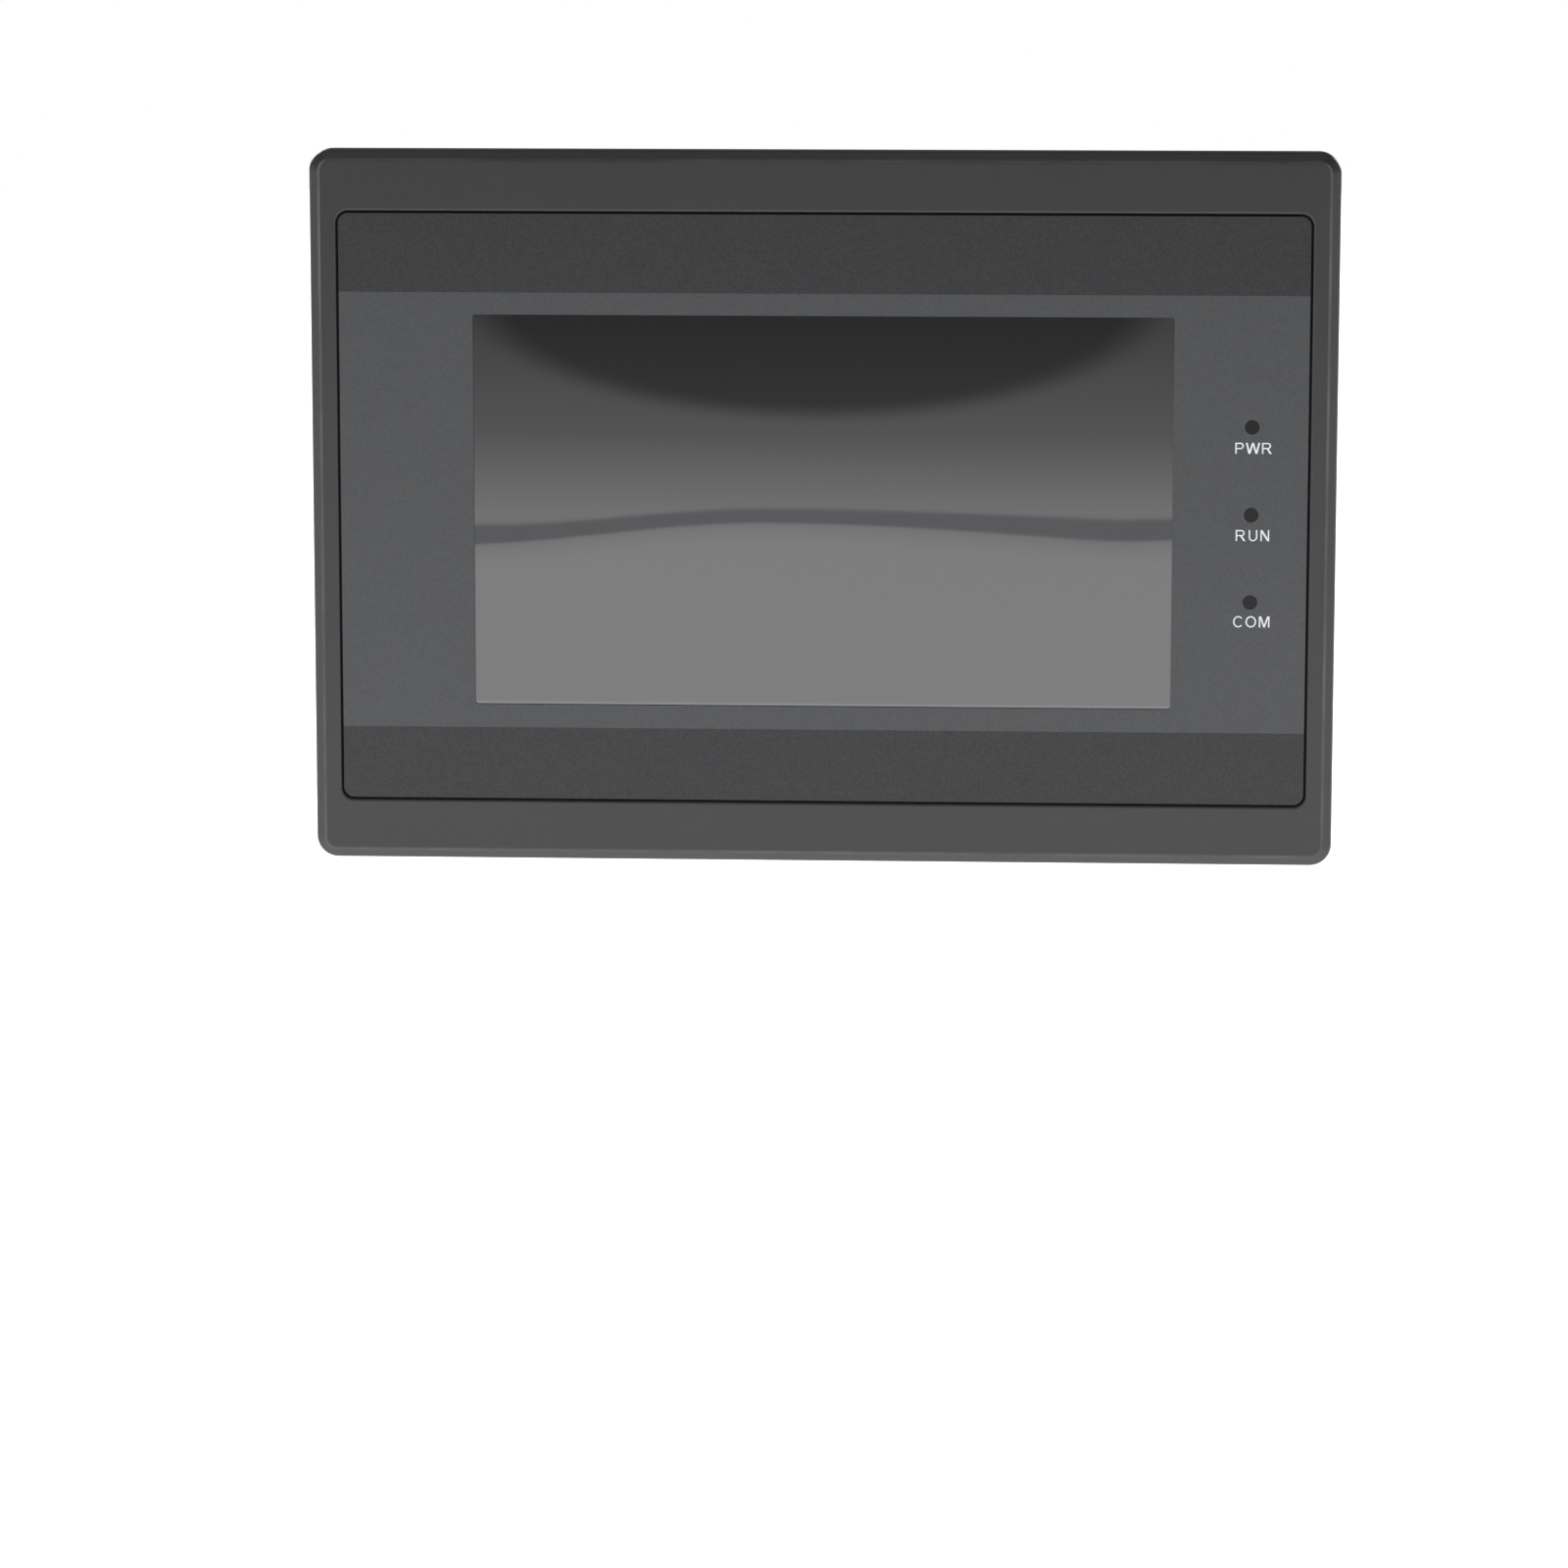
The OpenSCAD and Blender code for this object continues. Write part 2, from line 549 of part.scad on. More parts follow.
module usb_tongues() color([0.12, 0.12, 0.13]) {
    bx(usb_a_x - 5.55, usb_a_x + 5.55, usb_a_y + 0.3, usb_a_y + 2.14, step_z + 1.2, step_z + 10);
    bx(usb_b_x - 2.3, usb_b_x + 2.3, usb_b_y - 0.4, usb_b_y + 0.5, step_z + 0.8, step_z + 7);
}

module mode_switch() color([0.72, 0.1, 0.1]) difference() {
    bx(mode_x - 5.9, mode_x + 5.9, mode_y - 3.2, mode_y + 3.2, step_z + 1.6, step_z + 8);
    for (i = [0:3]) bx(mode_x + (i - 1.5) * 2.54 - 0.6, mode_x + (i - 1.5) * 2.54 + 0.6,
        mode_y - 1.8, mode_y + 1.8, step_z, step_z + 3);
}

module mode_slider(i) color([0.94, 0.94, 0.93]) {
    x = mode_x + (i - 2.5) * 2.54;
    bx(x - 0.5, x + 0.5, mode_y - 1.7, mode_y - 0.2, step_z + 0.7, step_z + 2.9);
}

// ---------- rear housing ----------

module rear_housing() color([0.2, 0.2, 0.205]) difference() {
    union() {
        difference() {
            union() {
                rbox(house_w, house_h, house_r, -1, y_step);
                rbox(house_w, deep_h, house_r, y_step - 1, housing_d, deep_z);
            }
            rbox(house_w - 9.6, house_h - 9.6, 3, -2, 3);
            rbox(house_w - 2 * wall, house_h - 2 * wall, 3, 2, y_step - wall);
            rbox(house_w - 2 * wall, deep_h - 2 * wall, 3, y_step - wall - 1, housing_d - wall, deep_z);
        }
        // lip that locates in the bezel's pocket
        difference() {
            rbox(house_w - 6.4, house_h - 6.4, 3, -2, 1);
            rbox(house_w - 9.6, house_h - 9.6, 3, -3, 2);
        }
        // posts for the housing screws
        for (sx = [-1, 1]) {
            ycyl(sx * post_x, post_z, 4.2, 4, housing_d - 1);
            ycyl(sx * post_x, -post_z, 4.2, 4, y_step - 1);
        }
    }
    for (sx = [-1, 1], sz = [-1, 1]) {
        ycyl(sx * post_x, sz * post_z, 1.7, 3, 7);
        ycyl(sx * post_x, sz * post_z, 3.2, 6, housing_d + 1);
    }
    // openings for the connectors
    bx(term_x - 8.9, term_x + 8.9, y_comp - 0.2, tongue_y1 + 1.15, step_z - 1, step_z + wall + 1);
    for (x = com_xs) {
        translate([x, com_y, step_z - 1]) linear_extrude(wall + 2) d_outline(16.3, 7.9, 0.4);
        for (sx = [-1, 1]) zcyl(x + sx * 12.495, com_y, 1.6, step_z - 1, step_z + wall + 1);
    }
    bx(usb_a_x - 6.9, usb_a_x + 6.9, usb_a_y - 3.4, usb_a_y + 3.5, step_z - 1, step_z + wall + 1);
    bx(usb_b_x - 4.2, usb_b_x + 4.2, usb_b_y - 2.2, usb_b_y + 2.4, step_z - 1, step_z + wall + 1);
    bx(mode_x - 6.3, mode_x + 6.3, mode_y - 3.4, mode_y + 3.6, step_z - 1, step_z + wall + 1);
    // slots for the clamps' hooks
    for (sx = [-1, 1], sz = [-1, 1]) translate([sx * house_w / 2, (slot_y1 * 2 - 7.3) / 2, sz * (arm_z + clamp_t / 2)])
        cube([2 * wall + 4, 7.3, clamp_t + 0.5], center = true);
    // vents in the back and in the top
    for (g = [-1, 1], i = [0:vents - 1]) {
        x = g * (36 + i * 5);
        bx(x - vent_w / 2, x + vent_w / 2, housing_d - wall - 1, housing_d + 1, 22, 48);
        bx(x - vent_w / 2, x + vent_w / 2, 15, housing_d - 5, house_h / 2 - wall - 1, house_h / 2 + 1);
    }
    // shallow seat for the label
    bx(-40.2, 40.2, housing_d - 0.3, housing_d + 1, -34.2, 0.2);
}

module housing_screws() color([0.7, 0.7, 0.72]) for (sx = [-1, 1], sz = [-1, 1])
    pan_screw(sx * post_x, sz * post_z, 6, 8, 1.25, 2.8, 2.1);

module rear_label() color([0.82, 0.83, 0.84])
    rbox(80, 34, 1.5, housing_d - 0.3, housing_d - 0.1, -17);

module panel_gasket() color([0.06, 0.06, 0.06]) difference() {
    rbox(house_w + 10.2, house_h + 10.2, 5, -1.5, 0.8);
    rbox(house_w + 5.6, house_h + 5.6, 5, -2, 2);
}

// ---------- mounting clamps ----------

module clamp() {
    x0 = clamp_x + 0.6;
    x1 = clamp_x + 10.4;
    // plate with its tapped collar
    difference() {
        union() {
            translate([0, plate_y1, 0]) rotate([90, 0, 0]) linear_extrude(1.5)
                polygon([[x0, -3.4], [x0 + 2.3, -arm_z - e], [x1, -arm_z - e],
                    [x1, arm_z + e], [x0 + 2.3, arm_z + e], [x0, 3.4]]);
            ycyl(screw_x, 0, 2.7, plate_y1 - 2.4, plate_y1 - 1);
        }
        ycyl(screw_x, 0, 1.56, plate_y1 - 5, plate_y1 + 1);
    }
    // two arms, each with a neck and a hook
    for (s = [-1, 1]) translate([0, 0, s > 0 ? arm_z : -arm_z - clamp_t]) linear_extrude(clamp_t)
        polygon([[x1, plate_y1], [x1, plate_y1 - 6.2], [x1 - 1.8, plate_y1 - 8],
            [clamp_x + 1.4, plate_y1 - 8], [clamp_x + 0.4, plate_y1 - 7],
            [clamp_x + 0.4, slot_y1 - 3.25], [clamp_x - 4.4, slot_y1 - 3.25],
            [clamp_x - 5, slot_y1 - 2.4], [clamp_x - 5, slot_y1 + 2.2],
            [clamp_x - 4.4, slot_y1 + 2.9], [clamp_x - wall - 0.1, slot_y1 + 2.9],
            [clamp_x - wall - 0.1, slot_y1 - 0.05], [clamp_x + 0.4, slot_y1 - 0.05],
            [clamp_x + 0.4, plate_y1 - 0.8], [clamp_x + 1.2, plate_y1]]);
}

module clamp_right() color([0.72, 0.72, 0.73]) clamp();
module clamp_left() color([0.72, 0.72, 0.73]) mirror([1, 0, 0]) clamp();

module clamp_screw(s) color([0.66, 0.65, 0.64])
    pan_screw(s * screw_x, 0, sheet_t + screw_l, screw_l, 1.5, 2.8, 2.4);

front_bezel();
graphic_overlay();
lamp_lenses();
touch_film();
touch_spacer();
touch_glass();
touch_tape();
touch_tail();
display_gasket();
display_glass();
display_frame();
light_guide();
backlight_tray();
display_flex();
chassis_plate();
chassis_screws();
board_standoffs();
main_board();
board_screws();
lamp_board();
status_lamps();
lamp_cable();
flex_connectors();
processor();
memory_chips();
power_inductors();
capacitors();
battery_holder();
coin_cell();
buzzer();
terminal_header();
header_pins();
terminal_plug();
plug_contacts();
terminal_screw(-1);  // terminal_screw_1
terminal_screw(0);  // terminal_screw_2
terminal_screw(1);  // terminal_screw_3
wire_clamp(-1);  // wire_clamp_1
wire_clamp(0);  // wire_clamp_2
wire_clamp(1);  // wire_clamp_3
com_port_shells();
com_port_inserts();
com_port_jackscrews();
usb_shells();
usb_tongues();
mode_switch();
mode_slider(1);  // mode_slider_1
mode_slider(2);  // mode_slider_2
mode_slider(3);  // mode_slider_3
mode_slider(4);  // mode_slider_4
rear_housing();
housing_screws();
rear_label();
panel_gasket();
clamp_left();
clamp_right();
clamp_screw(-1);  // clamp_screw_left
clamp_screw(1);  // clamp_screw_right
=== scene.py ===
import json
import math

import bmesh
import bpy
from mathutils import Matrix, Vector


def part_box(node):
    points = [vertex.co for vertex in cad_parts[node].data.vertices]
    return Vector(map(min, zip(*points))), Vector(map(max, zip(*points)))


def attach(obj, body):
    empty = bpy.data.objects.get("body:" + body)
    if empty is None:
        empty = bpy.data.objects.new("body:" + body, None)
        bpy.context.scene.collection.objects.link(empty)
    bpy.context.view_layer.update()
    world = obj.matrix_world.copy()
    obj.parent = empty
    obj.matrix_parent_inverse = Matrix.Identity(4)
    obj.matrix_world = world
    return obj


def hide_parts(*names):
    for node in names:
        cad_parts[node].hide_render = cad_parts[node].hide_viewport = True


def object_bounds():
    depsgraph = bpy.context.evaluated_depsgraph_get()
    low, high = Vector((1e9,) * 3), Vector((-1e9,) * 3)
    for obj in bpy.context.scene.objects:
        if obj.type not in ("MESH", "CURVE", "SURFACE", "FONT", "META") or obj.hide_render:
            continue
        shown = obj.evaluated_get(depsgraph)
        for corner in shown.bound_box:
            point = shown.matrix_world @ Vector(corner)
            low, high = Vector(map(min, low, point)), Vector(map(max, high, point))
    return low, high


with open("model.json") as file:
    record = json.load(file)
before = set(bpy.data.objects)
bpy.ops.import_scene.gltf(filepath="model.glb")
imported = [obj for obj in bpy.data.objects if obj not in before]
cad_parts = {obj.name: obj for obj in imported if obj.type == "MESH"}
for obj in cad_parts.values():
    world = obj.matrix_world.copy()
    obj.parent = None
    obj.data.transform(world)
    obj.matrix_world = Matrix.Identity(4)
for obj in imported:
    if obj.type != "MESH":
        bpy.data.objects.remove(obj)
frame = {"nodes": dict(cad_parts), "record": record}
nodes = frame["nodes"]


def plain(b):
    return [[float(v) for v in p] for p in b]


cad_box = plain(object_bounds())
MM = 0.001

# ---------------------------------------------------------------- camera
cam_data = bpy.data.cameras.new("camera")
cam_data.lens = 135.0
cam_data.sensor_width = 36.0
cam_data.sensor_fit = "HORIZONTAL"
cam_data.clip_start = 0.02
cam_data.clip_end = 30.0
cam = bpy.data.objects.new("camera", cam_data)
bpy.context.scene.collection.objects.link(cam)
bpy.context.scene.camera = cam


def aim(place, pitch, yaw, roll):
    cp, sp, cw, sw = math.cos(pitch), math.sin(pitch), math.cos(yaw), math.sin(yaw)
    fwd = Vector((sw * cp, cw * cp, -sp))
    right = Vector((cw, -sw, 0.0))
    up = right.cross(fwd)
    r2 = right * math.cos(roll) + up * math.sin(roll)
    u2 = up * math.cos(roll) - right * math.sin(roll)
    m = Matrix((
        (r2.x, u2.x, -fwd.x, place[0]),
        (r2.y, u2.y, -fwd.y, place[1]),
        (r2.z, u2.z, -fwd.z, place[2]),
        (0, 0, 0, 1)))
    cam.matrix_world = m


aim((0.05756891, -1.305811, 0.15156387), 0.16263, -0.05081, 0.00065)
bpy.context.scene.view_settings.view_transform = "Standard"
bpy.context.scene.view_settings.look = "None"

# ---------------------------------------------------------------- node helpers


class Mat:
    """A small builder for procedural materials in object space."""

    def __init__(self, name, color=(0.5, 0.5, 0.5), rough=0.5, metal=0.0, **sockets):
        self.m = bpy.data.materials.new(name)
        self.m.use_nodes = True
        self.t = self.m.node_tree
        self.bsdf = next(n for n in self.t.nodes if n.type == "BSDF_PRINCIPLED")
        self.set("Base Color", (*color, 1.0))
        self.set("Roughness", rough)
        self.set("Metallic", metal)
        for k, v in sockets.items():
            self.set(k.replace("_", " "), v)
        self.m.diffuse_color = (*color, 1.0)
        self.coord = None

    def set(self, name, value):
        self.bsdf.inputs[name].default_value = value

    def node(self, kind, **props):
        n = self.t.nodes.new(kind)
        for k, v in props.items():
            setattr(n, k, v)
        return n

    def link(self, a, b):
        self.t.links.new(a, b)

    def pos(self):
        if self.coord is None:
            self.coord = self.node("ShaderNodeTexCoord").outputs["Object"]
        return self.coord

    def stretched(self, sx, sy, sz):
        n = self.node("ShaderNodeMapping")
        n.inputs["Scale"].default_value = (sx, sy, sz)
        self.link(self.pos(), n.inputs["Vector"])
        return n.outputs["Vector"]

    def noise(self, size_mm, detail=2.0, rough=0.5, vector=None):
        n = self.node("ShaderNodeTexNoise")
        n.inputs["Scale"].default_value = 1000.0 / size_mm
        n.inputs["Detail"].default_value = detail
        n.inputs["Roughness"].default_value = rough
        self.link(vector if vector is not None else self.pos(), n.inputs["Vector"])
        return n.outputs["Fac"]

    def voronoi(self, size_mm, feature="F1"):
        n = self.node("ShaderNodeTexVoronoi", feature=feature)
        n.inputs["Scale"].default_value = 1000.0 / size_mm
        self.link(self.pos(), n.inputs["Vector"])
        return n.outputs["Distance"]

    def math(self, op, a, b=None, c=None, clamp=False):
        n = self.node("ShaderNodeMath", operation=op, use_clamp=clamp)
        for i, v in enumerate((a, b, c)):
            if v is None:
                continue
            if isinstance(v, (int, float)):
                n.inputs[i].default_value = v
            else:
                self.link(v, n.inputs[i])
        return n.outputs[0]

    def ramp(self, fac, lo, hi, out_lo=0.0, out_hi=1.0, smooth=False):
        n = self.node("ShaderNodeMapRange")
        if smooth:
            n.interpolation_type = "SMOOTHSTEP"
        n.inputs["From Min"].default_value = lo
        n.inputs["From Max"].default_value = hi
        n.inputs["To Min"].default_value = out_lo
        n.inputs["To Max"].default_value = out_hi
        self.link(fac, n.inputs["Value"])
        return n.outputs["Result"]

    def mix(self, fac, a, b):
        n = self.node("ShaderNodeMix", data_type="RGBA")
        if isinstance(fac, (int, float)):
            n.inputs[0].default_value = fac
        else:
            self.link(fac, n.inputs[0])
        for i, v in ((6, a), (7, b)):
            if isinstance(v, tuple):
                n.inputs[i].default_value = (*v[:3], 1.0)
            else:
                self.link(v, n.inputs[i])
        return n.outputs[2]

    def color(self, socket):
        self.link(socket, self.bsdf.inputs["Base Color"])

    def rough(self, fac, lo, hi):
        self.link(self.ramp(fac, 0.0, 1.0, lo, hi), self.bsdf.inputs["Roughness"])

    def bump(self, height, depth_mm, strength=1.0, before=None):
        n = self.node("ShaderNodeBump")
        n.inputs["Strength"].default_value = strength
        n.inputs["Distance"].default_value = depth_mm * MM
        self.link(height, n.inputs["Height"])
        if before is not None:
            self.link(before, n.inputs["Normal"])
        self.link(n.outputs["Normal"], self.bsdf.inputs["Normal"])
        return n.outputs["Normal"]


def shade(c, k):
    return tuple(min(1.0, v * k) for v in c)


def moulded(name, color, rough=0.5, grain=0.45, depth=0.02, vary=0.08):
    """Moulded plastic with a fine eroded texture."""
    m = Mat(name, color, rough)
    fine = m.noise(grain, 3.0, 0.6)
    broad = m.noise(38.0, 2.0)
    tone = m.mix(m.ramp(fine, 0.3, 0.7), shade(color, 1 - vary), shade(color, 1 + vary))
    m.color(m.mix(m.ramp(broad, 0.35, 0.65, 0.0, 0.35), tone, shade(color, 1.12)))
    m.rough(m.noise(2.6, 2.0), rough - 0.05, rough + 0.06)
    m.bump(fine, depth, 0.8)
    return m.m


def bezel_plastic():
    """Moulded frame: fine texture, with a painted highlight along the ridge and the outer edge, where it is also a
    little less rough.
    """
    color, rough = (0.0255, 0.0255, 0.0259), 0.42
    m = Mat("bezel_abs", color, rough)
    fine = m.noise(0.5, 3.0, 0.6)
    broad = m.noise(38.0, 2.0)
    tone = m.mix(m.ramp(fine, 0.3, 0.7), shade(color, 0.9), shade(color, 1.1))
    tone = m.mix(m.ramp(broad, 0.35, 0.65, 0.0, 0.35), tone, shade(color, 1.12))
    lo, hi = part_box("front_bezel")
    rim, rim_deep, r = 2.2 * MM, 1.8 * MM, 2.6 * MM
    sep = m.node("ShaderNodeSeparateXYZ")
    m.link(m.pos(), sep.inputs[0])
    qx = m.math("SUBTRACT", m.math("ABSOLUTE", sep.outputs["X"]), hi[0] - rim - r)
    qz = m.math("SUBTRACT", m.math("ABSOLUTE", sep.outputs["Z"]), hi[2] - rim - r)
    ox, oz = m.math("MAXIMUM", qx, 0.0), m.math("MAXIMUM", qz, 0.0)
    out = m.math("SQRT", m.math("ADD", m.math("MULTIPLY", ox, ox), m.math("MULTIPLY", oz, oz)))
    d = m.math("ADD", out, m.math("SUBTRACT", m.math("MINIMUM", m.math("MAXIMUM", qx, qz), 0.0), r))
    depth = m.math("SUBTRACT", sep.outputs["Y"], lo[1])

    def near(value, at, inner, outer):
        off = m.math("ABSOLUTE", m.math("SUBTRACT", value, at * MM))
        return m.ramp(off, inner * MM, outer * MM, 1.0, 0.0, smooth=True)

    ridge = m.math("MULTIPLY", near(d, 0.0, 0.12, 0.5), near(depth, 0.0, 0.3, 0.7))
    edge = m.math("MULTIPLY", near(d, 2.2, 0.05, 0.4), near(depth, 1.8, 0.1, 0.6))
    polish_and_painted_highlight = m.math("MULTIPLY", m.math("MAXIMUM", ridge, edge), m.ramp(m.noise(14.0, 3.0, 0.6), 0.35, 0.65, 0.25, 1.0))
    # painted highlight: the colour is lightened 2.3 times along the ridge and the outer edge, and the roughness is a
    # little lower there
    m.color(m.mix(polish_and_painted_highlight, tone, shade(color, 2.3)))
    base = m.ramp(m.noise(2.6, 2.0), 0.0, 1.0, rough - 0.05, rough + 0.06)
    m.link(m.math("SUBTRACT", base, m.math("MULTIPLY", polish_and_painted_highlight, 0.12)), m.bsdf.inputs["Roughness"])
    m.bump(fine, 0.014, 0.8)
    return m.m


def smooth_plastic(name, color, rough=0.35, vary=0.05, flow=6.0, **sockets):
    """Polished moulding: faint flow marks and fine scratches."""
    m = Mat(name, color, rough, **sockets)
    a = m.noise(flow, 3.0)
    m.color(m.mix(a, shade(color, 1 - vary), shade(color, 1 + vary)))
    m.rough(m.noise(0.9, 3.0), rough - 0.05, rough + 0.07)
    m.bump(m.noise(1.6, 2.0), 0.006, 0.5)
    return m.m


def plated(name, color, rough=0.3, along=(1, 1, 1), tint=None, depth=0.004):
    """Plated or rolled metal, with marks that run along one direction."""
    m = Mat(name, color, rough, 1.0)
    streak = m.noise(0.5, 4.0, 0.65, m.stretched(*along))
    cloud = m.noise(3.2, 3.0)
    c = m.mix(m.ramp(streak, 0.3, 0.7), shade(color, 0.86), shade(color, 1.08))
    m.color(m.mix(m.ramp(cloud, 0.45, 0.75, 0.0, 0.5), c, tint or shade(color, 0.9)))
    m.rough(streak, rough - 0.08, rough + 0.12)
    m.bump(streak, depth, 0.6)
    return m.m


# ---------------------------------------------------------------- materials
# levels of the studio light
FLOOR_GLOW, WALL_GAIN, FILL, KEY, STRIP, LOW, REAR = 1.45, 1.0, 0.13, 0.7, 2.4, 0.32, 14.0
BAND_Z, BAND_H = -0.68 * MM, 48.72 * MM


def overlay_film():
    """Textured polyester, printed dark grey with two darker bands."""
    m = Mat("overlay_print", (0.05, 0.05, 0.052), 0.5)
    sep = m.node("ShaderNodeSeparateXYZ")
    m.link(m.pos(), sep.inputs[0])
    off = m.math("ABSOLUTE", m.math("SUBTRACT", sep.outputs["Z"], BAND_Z))
    band = m.ramp(off, BAND_H - 0.00006, BAND_H + 0.00006)
    grain = m.noise(0.5, 3.0, 0.75)
    speck = m.voronoi(0.55)
    tint = m.ramp(m.noise(5.5, 3.0, 0.6), 0.36, 0.64)
    g = m.ramp(grain, 0.36, 0.64)
    mid_a = m.mix(g, (0.0395, 0.0405, 0.0425), (0.0535, 0.0545, 0.0565))
    mid_b = m.mix(g, (0.0385, 0.0410, 0.0460), (0.0510, 0.0540, 0.0600))
    dark_a = m.mix(g, (0.0115, 0.0116, 0.0122), (0.0235, 0.0236, 0.0246))
    dark_b = m.mix(g, (0.0110, 0.0114, 0.0128), (0.0220, 0.0227, 0.0254))
    m.color(m.mix(band, m.mix(tint, mid_a, mid_b), m.mix(tint, dark_a, dark_b)))
    m.rough(m.noise(5.0, 2.0), 0.45, 0.54)
    h = m.math("ADD", m.math("MULTIPLY", grain, 0.7), m.math("MULTIPLY", speck, 0.3))
    m.bump(h, 0.03, 0.8)
    return m.m


def screen_film():
    """The touch panel's film over a dark display: stacked surfaces reflect about a fifth."""
    m = Mat("touch_window", (0.004, 0.004, 0.0042), 0.05)
    m.set("IOR", 2.1)
    haze = m.noise(9.0, 2.0)
    m.rough(haze, 0.012, 0.024)
    m.color(m.mix(m.noise(0.35, 1.0), (0.0036, 0.0036, 0.0038), (0.0052, 0.005, 0.005)))
    m.bump(m.noise(60.0, 1.0), 0.02, 0.1)
    return m.m


def board(name, color):
    """Solder mask over copper: thin traces, ground pour and a glossy coat."""
    m = Mat(name, color, 0.35)
    m.set("Coat Weight", 0.5)
    m.set("Coat Roughness", 0.15)
    brick = m.node("ShaderNodeTexBrick", offset=0.37, squash=0.6)
    brick.inputs["Scale"].default_value = 1.0
    brick.inputs["Brick Width"].default_value = 0.0052
    brick.inputs["Row Height"].default_value = 0.00105
    brick.inputs["Mortar Size"].default_value = 0.00012
    turn = m.node("ShaderNodeMapping")
    turn.inputs["Rotation"].default_value = (math.radians(90), 0, 0)
    m.link(m.pos(), turn.inputs["Vector"])
    m.link(turn.outputs["Vector"], brick.inputs["Vector"])
    pour = m.ramp(m.noise(11.0, 1.0), 0.47, 0.5)
    lines = m.math("MULTIPLY", brick.outputs["Fac"], pour)
    m.color(m.mix(lines, shade(color, 1.0), shade(color, 1.9)))
    m.bump(lines, 0.02, 0.6)
    return m.m


def flex_film():
    m = Mat("flex_film", (0.42, 0.17, 0.03), 0.3)
    sep = m.node("ShaderNodeSeparateXYZ")
    m.link(m.pos(), sep.inputs[0])
    w = m.math("PINGPONG", sep.outputs["X"], 0.0005)
    m.color(m.mix(m.ramp(w, 0.00022, 0.00028), (0.42, 0.17, 0.03), (0.62, 0.33, 0.1)))
    m.bump(w, 0.01, 0.4)
    return m.m


def label_foil():
    """A blank rating plate: satin foil with a printed border and ruled boxes."""
    m = Mat("label_foil", (0.5, 0.51, 0.52), 0.38, 0.85)
    sep = m.node("ShaderNodeSeparateXYZ")
    m.link(m.pos(), sep.inputs[0])
    streak = m.noise(0.4, 3.0, 0.6, m.stretched(0.05, 1, 1))
    base = m.mix(m.ramp(streak, 0.3, 0.7), (0.44, 0.45, 0.46), (0.56, 0.57, 0.58))
    ax = m.math("ABSOLUTE", sep.outputs["X"])
    az = m.math("ABSOLUTE", m.math("ADD", sep.outputs["Z"], 0.017))
    inside = m.math("MULTIPLY", m.math("LESS_THAN", ax, 0.0378), m.math("LESS_THAN", az, 0.0148))
    core = m.math("MULTIPLY", m.math("LESS_THAN", ax, 0.0373), m.math("LESS_THAN", az, 0.0143))
    frame_line = m.math("SUBTRACT", inside, core)
    rule = m.math("PINGPONG", m.math("ADD", sep.outputs["Z"], 0.017), 0.0036)
    rules = m.math("MULTIPLY", m.math("LESS_THAN", rule, 0.00013), core)
    col = m.math("LESS_THAN", m.math("ABSOLUTE", m.math("SUBTRACT", sep.outputs["X"], -0.008)), 0.00013)
    lines = m.math("MAXIMUM", frame_line, m.math("MAXIMUM", rules, m.math("MULTIPLY", col, core)), clamp=True)
    m.color(m.mix(lines, base, (0.02, 0.02, 0.022)))
    m.rough(streak, 0.3, 0.45)
    return m.m


MATS = {
    "bezel": bezel_plastic(),
    "housing": moulded("housing_abs", (0.024, 0.024, 0.0245), 0.55, 0.7, 0.05, 0.2),
    "overlay": overlay_film(),
    "screen": screen_film(),
    "lamp": smooth_plastic("lamp_window_plastic", (0.006, 0.006, 0.0065), 0.32, Specular_IOR_Level=0.3),
    "glass": smooth_plastic("float_glass", (0.32, 0.38, 0.37), 0.06, 0.03, 20.0, Transmission_Weight=0.85),
    "tape": moulded("black_tape", (0.012, 0.012, 0.012), 0.8, 0.3, 0.02),
    "foam": moulded("cell_rubber", (0.014, 0.014, 0.014), 0.85, 0.28, 0.06, 0.3),
    "flex": flex_film(),
    "lcd": smooth_plastic("display_cell", (0.006, 0.0065, 0.008), 0.12, 0.1, 12.0),
    "acrylic": smooth_plastic("light_guide_acrylic", (0.75, 0.8, 0.8), 0.15, 0.03, 4.0, Transmission_Weight=0.4),
    "white": smooth_plastic("white_moulding", (0.72, 0.72, 0.69), 0.45),
    "sheet": plated("zinc_sheet", (0.56, 0.57, 0.59), 0.34, (0.12, 1, 1)),
    "nickel": plated("nickel_sheet", (0.5, 0.48, 0.45), 0.26, (1, 0.2, 1), (0.36, 0.31, 0.27)),
    "screw": plated("screw_steel", (0.6, 0.59, 0.58), 0.28, (1, 1, 0.3), (0.42, 0.39, 0.36)),
    "brass": plated("turned_brass", (0.66, 0.45, 0.17), 0.27, (1, 0.2, 1), (0.5, 0.32, 0.1)),
    "pcb": board("solder_mask", (0.008, 0.1, 0.035)),
    "tongue": smooth_plastic("connector_tongue", (0.06, 0.06, 0.062), 0.35),
    "chip": moulded("chip_epoxy", (0.014, 0.014, 0.015), 0.6, 0.2, 0.012),
    "can": plated("can_aluminium", (0.68, 0.69, 0.7), 0.32, (1, 0.1, 1)),
    "green": smooth_plastic("terminal_green", (0.035, 0.26, 0.1), 0.42, 0.08, 3.0),
    "tin": plated("tinned_shell", (0.68, 0.68, 0.67), 0.24, (1, 1, 0.15)),
    "red": smooth_plastic("switch_red", (0.45, 0.018, 0.014), 0.38),
    "cable": smooth_plastic("cable_sheath", (0.6, 0.6, 0.6), 0.5),
    "label": label_foil(),
    "ink": smooth_plastic("legend_ink", (0.62, 0.63, 0.64), 0.55),
    "gold": plated("contact_gold", (0.8, 0.56, 0.22), 0.25, (1, 1, 0.3)),
}

